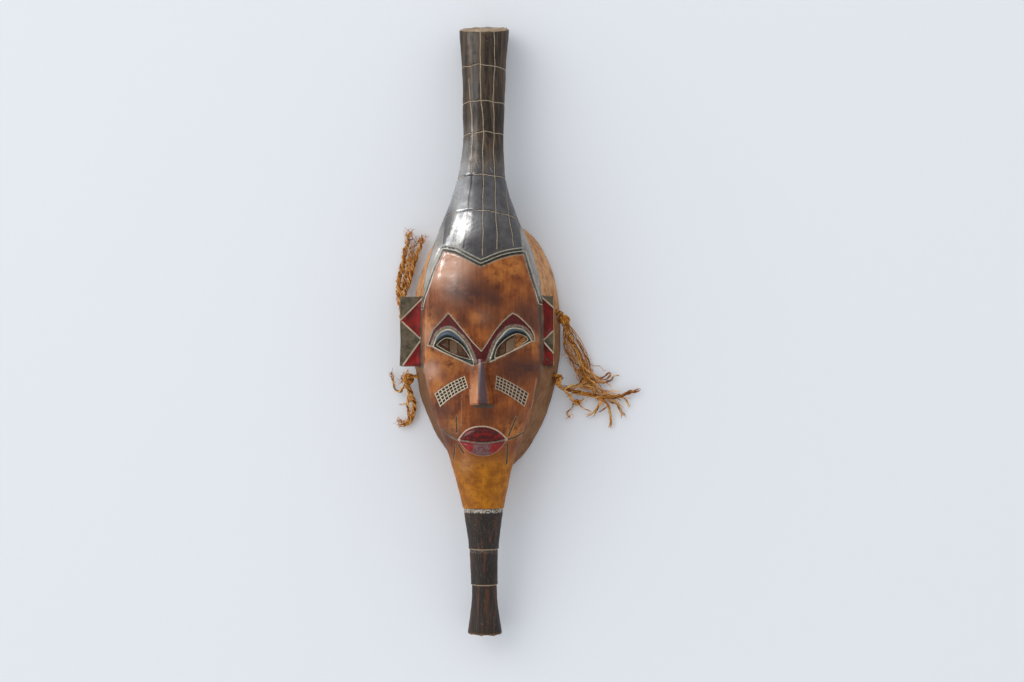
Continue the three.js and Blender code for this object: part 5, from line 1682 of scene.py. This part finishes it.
class Fibres:
    """Collects thin tubes of fibre into one mesh."""

    def __init__(self, seed):
        self.rng = np.random.default_rng(seed)
        self.points, self.faces, self.tones = [], [], []
        self.count = 0

    def tube(self, path, radius, tone, sides=5, flat=1.0):
        """One fibre along a path, kept above the floor, with its own tone."""
        path = np.asarray(path, float)
        n = len(path)
        run = np.gradient(path, axis=0)
        run /= np.linalg.norm(run, axis=1, keepdims=True) + 1e-9
        side = np.cross(run, [0.13, 0.21, 0.97])
        side /= np.linalg.norm(side, axis=1, keepdims=True) + 1e-9
        up = np.cross(side, run)
        radius = np.broadcast_to(radius, n)
        spin = self.rng.uniform(0, 6.28) + np.linspace(0, self.rng.normal() * 5, n)
        turn = 2 * math.pi * np.arange(sides) / sides
        a, b = np.cos(turn)[None, :] * flat, np.sin(turn)[None, :] / flat
        c, s = np.cos(spin)[:, None], np.sin(spin)[:, None]
        u, v = a * c - b * s, a * s + b * c
        out = u[..., None] * side[:, None] + v[..., None] * up[:, None]
        ring = path[:, None] + out * radius[:, None, None]
        ring[..., 2] = np.maximum(ring[..., 2], 0.32)
        base = self.count
        self.points.append(ring.reshape(-1, 3))
        self.tones.append(np.full(n * sides, tone))
        rows = np.arange(n - 1)[:, None] * sides
        cols = np.arange(sides)[None, :]
        i = base + rows + cols
        j = base + rows + (cols + 1) % sides
        self.faces.extend(np.stack([i, j, j + sides, i + sides], -1).reshape(-1, 4).tolist())
        self.faces.append(tuple(range(base + sides - 1, base - 1, -1)))
        last = base + (n - 1) * sides
        self.faces.append(tuple(range(last, last + sides)))
        self.count += n * sides

    def wander(self, length, n, size):
        """A smooth random sideways path of n steps."""
        s = np.linspace(0, length, n)
        out = np.zeros((n, 3))
        for wave in (0.5, 1.0, 2.1):
            for k in range(3):
                out[:, k] += self.rng.normal() / wave * np.sin(s / size * wave + self.rng.uniform(0, 6.28))
        return out * 0.45

    def cord(self, path, count, radius, pitch=14.0, fibre=0.5, fray=0.75, spread=4.0, crimp=0.5, even=0.8):
        """A loose twisted cord of fibres along a path, frayed toward its far end."""
        r = self.rng
        path = curve(path, 10)
        gaps = np.linalg.norm(np.diff(path, axis=0), axis=1)
        s = np.concatenate([[0], np.cumsum(gaps)])
        length = s[-1]
        for _ in range(count):
            first = 0 if r.uniform() < even else r.uniform(0, 0.45)
            last = 1 - 0.22 * r.uniform() ** 2 if r.uniform() < even else r.uniform(0.6, 1.0)
            n = max(int((last - first) * length / 1.25), 6)
            at = np.linspace(first, last, n)
            middle = np.stack([np.interp(at * length, s, path[:, k]) for k in range(3)], -1)
            run = np.gradient(middle, axis=0)
            run /= np.linalg.norm(run, axis=1, keepdims=True) + 1e-9
            side = np.cross(run, [0, 0, 1.0])
            side /= np.linalg.norm(side, axis=1, keepdims=True) + 1e-9
            up = np.cross(side, run)
            turn = r.uniform(0, 6.28) + at * length / (pitch * r.uniform(0.7, 1.5)) * 2 * math.pi
            turn = turn + 1.1 * np.sin(at * length / 7 + r.uniform(0, 6.28))
            off = radius * math.sqrt(r.uniform(0.05, 1.0))
            loose = np.clip((at - fray) / max(1 - fray, 0.01), 0, 1) ** 1.5
            off = off * (1 + 0.5 * loose)
            way = np.array([r.normal(), r.normal(), abs(r.normal()) * 0.25]) * spread * 0.5
            place = middle + (np.cos(turn) * off)[:, None] * side + (np.sin(turn) * off * 0.8)[:, None] * up
            place += way * loose[:, None]
            place += self.wander(length, n, 4.0) * crimp * (0.5 + 1.2 * loose[:, None])
            place[:, 2] = np.maximum(place[:, 2], 0.8 + 0.3 * np.abs(np.sin(turn)))
            size = fibre * FIBRE_SHARE * r.uniform(0.6, 1.25)
            taper = np.ones(n)
            taper[-3:] = (0.85, 0.65, 0.4)
            tone = np.clip(r.normal(0.5, 0.34), 0, 1)
            self.tube(place, size * taper, tone, 5, FIBRE_FLAT if r.uniform() < 0.5 else 1.0)

    def knot(self, middle, size, count=34, fibre=0.5, lean=(0, 0, 1)):
        """A knot: loops of fibre wound over one another."""
        r = self.rng
        middle = np.array(middle, float)
        size = np.array(size, float)
        lean = np.array(lean, float)
        for i in range(count):
            axis = lean + r.normal(size=3) * (0.55 if i % 3 else 1.4)
            axis /= np.linalg.norm(axis)
            a = np.cross(axis, [0.3, 0.9, 0.1])
            a /= np.linalg.norm(a)
            b = np.cross(axis, a)
            begin = r.uniform(0, 6.28)
            turn = begin + np.linspace(0, r.uniform(4.2, 6.9), 22)
            off = axis * r.uniform(-0.55, 0.55)
            share = math.sqrt(max(1 - (off @ off), 0.2)) * r.uniform(0.82, 1.0)
            loop = (np.cos(turn)[:, None] * a + np.sin(turn)[:, None] * b) * share + off
            loop *= (1 + 0.05 * np.sin(turn * 3 + begin))[:, None]
            place = middle + loop * size
            place[:, 2] = np.maximum(place[:, 2], 0.9)
            self.tube(place, fibre * r.uniform(0.7, 1.2), np.clip(r.normal(0.48, 0.2), 0, 1), 5, 1.2)
        # A dark round filling, so that no light shows through the loops.
        t = np.linspace(-math.pi / 2, math.pi / 2, 7)
        path = middle + np.outer(np.sin(t), [0, size[1] * 0.66, 0])
        self.tube(path, np.maximum(np.cos(t), 0.05) * size.mean() * 0.68, 0.12, 12)

    def curls(self, places, count, reach, fibre=0.35):
        """Loose curled ends springing from places."""
        r = self.rng
        for middle in places:
            for _ in range(count):
                n = 22
                t = np.linspace(0, 1, n)
                way = np.array([r.normal(), r.normal(), abs(r.normal()) * 0.4])
                way /= np.linalg.norm(way)
                bend = np.array([r.normal(), r.normal(), r.normal() * 0.3])
                size = reach * r.uniform(0.5, 1.2)
                turn = r.uniform(3, 8)
                place = np.array(middle) + way * size * t[:, None]
                place += bend * size * 0.22 * np.sin(turn * t)[:, None]
                place += np.cross(way, bend) * size * 0.18 * (np.cos(turn * t) - 1)[:, None]
                place[:, 2] = np.maximum(place[:, 2], 0.8)
                taper = np.linspace(1, 0.45, n)
                self.tube(place, fibre * taper * r.uniform(0.7, 1.2), np.clip(r.normal(0.58, 0.2), 0, 1), 4)

    def build(self, name):
        """The piece made of all the fibres so far."""
        obj = make_object(name, np.concatenate(self.points), self.faces)
        store(obj, "tone", np.concatenate(self.tones))
        obj.data.shade_smooth()
        return obj


def hole_bundle(t, hole):
    """The bundle through a hole, with a knot inside the rim."""
    side, y = HOLES[hole]
    inside = hole_place(side, y, -19)
    outside = hole_place(side, y, 5)
    t.cord([inside, (inside + outside) / 2, outside], 16, 1.7, 9, 0.55, 2, 0, 0.12, 1.0)
    t.knot(inside - [side * 1.5, 0, 0], (3.6, 3.9, 3.6), 26, 0.5, (1, 0, 0))
    t.curls([inside - [side * 2, 0, 0]], 6, 5.5)
    return outside


def upper_left():
    """Three strands up along the rim, crossed by a thin one."""
    t = Fibres(51)
    out = hole_bundle(t, "upper_left")
    t.knot((-79.0, -80, 12), (4.4, 5.0, 4.2), 30)
    t.cord([out, (-76, -79, 14), (-79, -79, 12)], 14, 1.7, 9, 0.5, 2, 0, 0.2)
    one = [(-80.5, -78, 11), (-83.9, -66.4, 9), (-84.8, -54.3, 8), (-85.0, -44.9, 7), (-82.5, -34.2, 6),
           (-80.0, -23.4, 5.5), (-77.8, -12.7, 5), (-76.2, -4.6, 5), (-74.6, 1.0, 5)]
    two = [(-79.5, -77, 12), (-80.5, -63.8, 10), (-77.6, -55.0, 9), (-73.4, -42.4, 8), (-70.8, -31.7, 7.5),
           (-68.4, -23.6, 7), (-65.6, -15.6, 7), (-62.9, -8.9, 6.5), (-60.9, -3.5, 6)]
    three = [(-80, -78, 11), (-82, -62, 9), (-80.5, -50, 8), (-77.0, -39, 7), (-74.8, -28, 6),
             (-73.5, -18, 5), (-69.5, -9, 5), (-67.0, -3.5, 5)]
    for path, count in ((one, 16), (two, 16), (three, 10)):
        t.cord(path, count, 2.2, 11, 0.45, 0.86, 5.5, 1.25, 0.75)
    cross = [(-84.5, -58, 7), (-80, -50, 8), (-74, -46, 8), (-79, -38, 7), (-83, -32, 6), (-76, -26, 6),
             (-69, -22, 6), (-75, -14, 5), (-77, -8, 5)]
    t.cord(cross, 7, 1.2, 10, 0.42, 0.8, 4, 1.1, 0.7)
    t.curls([(-75, 0, 5), (-62, -5, 6), (-76, -3, 5)], 12, 6.0, 0.42)
    t.curls([(-84, -48, 7), (-79, -36, 7), (-73, -30, 7), (-79, -20, 6), (-71, -24, 6)], 7, 5.0, 0.36)
    return t.build("raffia_upper_left")


def lower_left():
    """A big knot with two strands down and a curl outward."""
    t = Fibres(52)
    out = hole_bundle(t, "lower_left")
    t.knot((-74.5, -141, 11.5), (5.2, 5.2, 4.6), 34)
    t.cord([out, (-74, -140, 13), (-76, -142, 11)], 14, 1.6, 9, 0.5, 2, 0, 0.2)
    t.cord([(-76, -144, 10), (-74, -150, 8), (-71.5, -157.6, 7), (-69.4, -165.5, 5.5),
           (-70.5, -174.7, 5), (-73.4, -181.2, 4), (-79.5, -184.5, 4), (-86.0, -182.0, 4)], 17, 1.9,
           10, 0.5, 0.8, 3.5, 0.9, 0.7)
    t.cord([(-77, -145, 10), (-75, -154, 8), (-75.5, -160, 6), (-76, -167.5, 5), (-74.2, -177.4, 4.5),
            (-73.0, -184.0, 4)], 10, 1.4, 10, 0.45, 0.75, 3, 0.9, 0.7)
    t.cord([(-77, -144, 9), (-80, -150, 7), (-84.4, -153.2, 5), (-88.6, -150.4, 4.5),
           (-90.4, -143.0, 4), (-92.2, -134.7, 4)], 9, 1.1, 8, 0.42, 0.88, 3.5, 0.7, 0.85)
    t.cord([(-73, -162, 5), (-78.2, -164.8, 4), (-86.2, -165.2, 4)], 4, 0.6, 8, 0.36, 0.6, 3, 0.6)
    t.curls([(-80, -142, 9), (-77, -138, 10), (-75, -147, 9)], 12, 6.5, 0.42)
    t.curls([(-72, -160, 6), (-71, -172, 5), (-85, -182, 4), (-92, -136, 4), (-77, -182, 4)], 7, 4.5,
            0.36)
    return t.build("raffia_lower_left")


def upper_right():
    """A wide loose fan of fibres, with two small looped ends."""
    t = Fibres(53)
    out = hole_bundle(t, "upper_right")
    t.knot((75.2, -84.8, 14.5), (5.6, 4.4, 4.6), 38, 0.5, (1, 0.2, 0))
    t.cord([out, (71.5, -80.5, 16), (74, -83, 15)], 16, 2.0, 9, 0.5, 2, 0, 0.2)
    start = (76.0, -88.0, 13.5)
    t.cord([start, (79.8, -102.2, 11), (86.9, -114.8, 8), (92.4, -125.9, 6.5), (96.3, -137.8, 5.5),
            (102.7, -144.1, 5), (107.4, -149.0, 4)], 24, 3.6, 70, 0.40, 0.55, 9, 1.5, 0.7)
    t.cord([start, (75.9, -103.7, 9), (80.5, -117.9, 6), (86.8, -129.0, 5), (93.9, -138.5, 4.5),
           (101.1, -145.7, 4)], 9, 3.4, 70, 0.36, 0.6, 7, 1.7, 0.6)
    t.cord([start, (86.0, -101.5, 10), (92.4, -111.6, 7.5), (97.2, -121.9, 6), (100.0, -133.8, 5),
           (107.5, -140.2, 4.5), (115.4, -143.3, 4), (120.1, -146.5, 4)], 8, 2.4, 70, 0.40, 0.7, 5,
           1.3, 0.7)
    t.cord([(101, -140, 5), (106, -144.0, 4.5), (112.2, -144.7, 4.5), (119.4, -142.6, 4),
           (122.6, -138.8, 4), (128.5, -138.0, 4)], 6, 0.8, 10, 0.5, 0.9, 1, 0.3)
    t.cord([(102, -139, 5), (106.5, -141.7, 4.5), (112.2, -139.4, 4.5), (117.0, -135.9, 4.5),
           (119.8, -136.6, 4), (117.2, -139.8, 4), (113, -142.4, 4)], 5, 0.8, 10, 0.5, 0.95, 1, 0.3)
    t.cord([(96.0, -119, 6), (101.1, -127.4, 4.5), (109.1, -129.0, 4), (113.8, -133.6, 3.5),
           (115.0, -131.6, 3)], 2, 0.3, 10, 0.28, 0.9, 1, 0.3)
    t.cord([(76, -98, 9), (74.9, -109.9, 6), (75.9, -117.8, 4.5), (71.7, -117.2, 4)], 2, 0.4, 10, 0.32,
           0.9, 1, 0.4)
    t.curls([(84, -112, 8), (92, -126, 6), (98, -138, 5), (80, -118, 6), (88, -132, 5)], 7, 8.0, 0.34)
    t.curls([(106, -144, 4.5), (100, -146, 4.5)], 8, 8.0, 0.42)
    return t.build("raffia_upper_right")


def lower_right():
    """A long strand out to the right, with branches down and a small knot."""
    t = Fibres(54)
    out = hole_bundle(t, "lower_right")
    t.cord([out + [-6, 0.5, 0], out + [-1.0, -1.5, 0.6], (68.5, -144.0, 17), (71.0, -148.3, 14.5),
            (75.0, -150.8, 11.5)], 20, 2.3, 8, 0.45, 2, 0, 0.3)
    t.knot((69.0, -143.6, 16.5), (3.4, 3.8, 3.2), 24, 0.45, (1, -0.6, 0))
    start = (74.5, -150.6, 11.8)
    t.cord([start, (82.0, -152.4, 9), (90.7, -154.5, 7), (101.0, -156.5, 5.5), (110.6, -158.4, 5),
           (120.1, -158.5, 4.5), (129.6, -157.3, 4.5), (136.0, -154.3, 4.5), (142.3, -152.9, 4.5),
           (147.4, -152.0, 4.5)], 20, 1.6, 20, 0.45, 0.97, 0.6, 0.6, 0.85)
    t.cord([start, (88.4, -146.5, 8), (93.9, -141.2, 6), (101.1, -143.4, 5.5), (108.2, -146.5, 5)], 8,
           1.2, 30, 0.42, 0.7, 5, 0.7)
    t.cord([start, (86.5, -148.6, 9), (94.0, -147.5, 7), (100.9, -149.4, 6), (108.4, -152.9, 5.5),
           (116.9, -154.5, 5), (124.9, -156.9, 4.5), (131.2, -156.1, 4)], 12, 3.0, 50, 0.36, 0.6, 7,
           1.5, 0.6)
    t.cord([(104, -156.5, 5.5), (110.4, -160.5, 5), (115.3, -164.0, 4.5), (118.1, -170.4, 4.5),
           (119.2, -178.3, 4), (119.6, -183.8, 4), (118.4, -188.6, 4)], 11, 1.1, 20, 0.55, 0.9, 1.0,
           0.3)
    t.cord([(101, -155, 5.5), (105.8, -158.8, 5), (109.3, -163.2, 4.5), (107.4, -168.8, 4),
           (104.2, -173.5, 4), (103.2, -177.4, 4)], 8, 0.9, 12, 0.5, 0.85, 1.8, 0.35)
    t.cord([(109.2, -162.5, 4.5), (105.8, -170.0, 4), (101.0, -174.3, 4), (96.2, -176.6, 4)], 6, 0.8,
           14, 0.48, 0.8, 1.8, 0.35)
    t.cord([(112, -157.5, 5), (118.5, -159.3, 4.5), (124.8, -163.2, 4), (127.2, -168.8, 4),
           (129.5, -173.5, 4), (133.5, -176.7, 4)], 8, 0.9, 14, 0.48, 0.8, 2, 0.35)
    t.cord([(126.4, -166.4, 4), (130.3, -171.2, 4), (129.6, -175.9, 4), (128.9, -180.5, 4)], 3, 0.5,
           14, 0.4, 0.8, 1, 0.35)
    t.cord([(121, -157.5, 5), (127.4, -157.9, 4.5), (132.8, -160.0, 4), (135.9, -164.8, 4),
           (137.5, -168.6, 4)], 6, 0.7, 14, 0.45, 0.9, 1, 0.3)
    t.cord([(117, -166.5, 4), (111.3, -171.2, 4), (107.3, -173.3, 4)], 4, 0.5, 14, 0.4, 0.8, 1, 0.3)
    t.cord([start, (80.9, -158.5, 7), (84.0, -162.4, 5), (88.3, -163.4, 4.5), (92.3, -162.4, 4.5),
           (94.5, -160.2, 4)], 9, 1.1, 10, 0.48, 0.9, 1.4, 0.4)
    t.knot((87.3, -163.6, 4.6), (3.6, 2.6, 2.6), 16, 0.42)
    t.cord([(83.8, -163.5, 4), (82.2, -169.3, 3.5), (77.9, -172.7, 3.5), (77.7, -175.9, 3.5),
           (81.3, -178.3, 3.5)], 5, 0.6, 10, 0.4, 0.8, 2, 0.4)
    t.cord([(88.3, -164.6, 4), (93.1, -169.2, 3.5), (98.6, -171.1, 3.5), (101.0, -173.3, 3.5)], 4, 0.5,
           10, 0.38, 0.8, 1.5, 0.4)
    t.curls([(84, -155, 8), (94, -150, 7), (104, -153, 6), (114, -156, 5), (122, -158, 5),
            (98, -157, 6)], 8, 7.0, 0.32)
    t.curls([(110, -162, 5), (118, -163, 5), (126, -164, 4), (80, -177, 3.5)], 5, 5.5, 0.34)
    return t.build("raffia_lower_right")


raffia = raffia_material()
for make, node in (
    (upper_left, "raffia_tie_upper_left"),
    (lower_left, "raffia_tie_lower_left"),
    (upper_right, "raffia_tie_upper_right"),
    (lower_right, "raffia_tie_lower_right"),
):
    piece = make()
    piece.data.materials.append(raffia)
    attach(piece, "root")
    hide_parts(node)

# Floor, light and camera.

def make_floor():
    """A plain pale floor."""
    corners = [(-1, -1), (1, -1), (1, 1), (-1, 1)]
    mesh = bpy.data.meshes.new("floor")
    mesh.from_pydata([(x * FLOOR_HALF, y * FLOOR_HALF, 0) for x, y in corners], [], [(0, 1, 2, 3)])
    material = bpy.data.materials.new("pale_floor")
    material.use_nodes = True
    shader = material.node_tree.nodes["Principled BSDF"]
    shader.inputs["Base Color"].default_value = FLOOR_COLOR
    shader.inputs["Roughness"].default_value = FLOOR_ROUGHNESS
    mesh.materials.append(material)
    linked(bpy.data.objects.new("floor", mesh))


def make_sky():
    """A soft sky: brighter beyond the headdress and toward the left, dim straight above the face."""
    world = bpy.data.worlds.new("soft")
    world.use_nodes = True
    nodes, links = world.node_tree.nodes, world.node_tree.links

    def faded(value, share, low, high, least, most):
        """Feeds a share with a value spread over a new range."""
        node = nodes.new("ShaderNodeMapRange")
        ends = {"From Min": low, "From Max": high, "To Min": least, "To Max": most}
        for name, end in ends.items():
            node.inputs[name].default_value = end
        links.new(value, node.inputs["Value"])
        links.new(node.outputs["Result"], share)

    direction = nodes.new("ShaderNodeTexCoord").outputs["Generated"]
    facing = nodes.new("ShaderNodeVectorMath")
    facing.operation = "DOT_PRODUCT"
    facing.inputs[1].default_value = SKY_BRIGHT_WAY
    links.new(direction, facing.inputs[0])
    split = nodes.new("ShaderNodeSeparateXYZ")
    links.new(direction, split.inputs[0])
    light = nodes.new("ShaderNodeMath")
    light.operation = "MULTIPLY"
    faded(facing.outputs["Value"], light.inputs[0], -0.7, 0.8, SKY_LEAST, SKY_MOST)
    faded(split.outputs["Z"], light.inputs[1], 0.97, 0.45, ZENITH_SHARE, 1.0)
    background = nodes["Background"]
    background.inputs["Color"].default_value = SKY_COLOR
    links.new(light.outputs[0], background.inputs["Strength"])
    bpy.context.scene.world = world
    bpy.context.scene.view_settings.view_transform = "Standard"


def area_light(name, place, aim, size, power, color):
    """A rectangle of light that faces its aim."""
    data = bpy.data.lights.new(name, "AREA")
    data.shape = "RECTANGLE"
    data.size, data.size_y = size
    data.energy = power
    data.color = color
    obj = linked(bpy.data.objects.new(name, data))
    obj.location = place
    obj.rotation_euler = (Vector(aim) - Vector(place)).to_track_quat("-Z", "Y").to_euler()
    return obj


def make_lights():
    """A broad key, two lights that show in the gloss alone, and a warm glow in the hollow."""
    area_light("key", **KEY)
    for name, values in (("sheen", SHEEN), ("low", LOW_SHEEN)):
        area_light(name, **values).visible_diffuse = False
    data = bpy.data.lights.new("glow", "POINT")
    data.energy = GLOW_POWER
    data.color = GLOW_COLOR
    data.shadow_soft_size = GLOW_SIZE
    linked(bpy.data.objects.new("glow", data)).location = GLOW_PLACE


def make_camera():
    """The camera looks down on the mask from the photo's angle, leaning a little to the right and down."""
    level = math.cos(CAMERA_LEAN)
    lean = math.sin(CAMERA_LEAN)
    back = Vector((lean * level, -lean, level * level))
    right = Vector((0, 1, 0)).cross(back).normalized()
    up = back.cross(right)
    data = bpy.data.cameras.new("camera")
    data.lens = CAMERA_LENS
    data.sensor_width = CAMERA_FILM
    camera = linked(bpy.data.objects.new("camera", data))
    turned = Matrix((right, up, back)).transposed().to_4x4()
    camera.matrix_world = Matrix.Translation(CAMERA_PLACE) @ turned
    bpy.context.scene.camera = camera


make_floor()
make_sky()
make_lights()
make_camera()
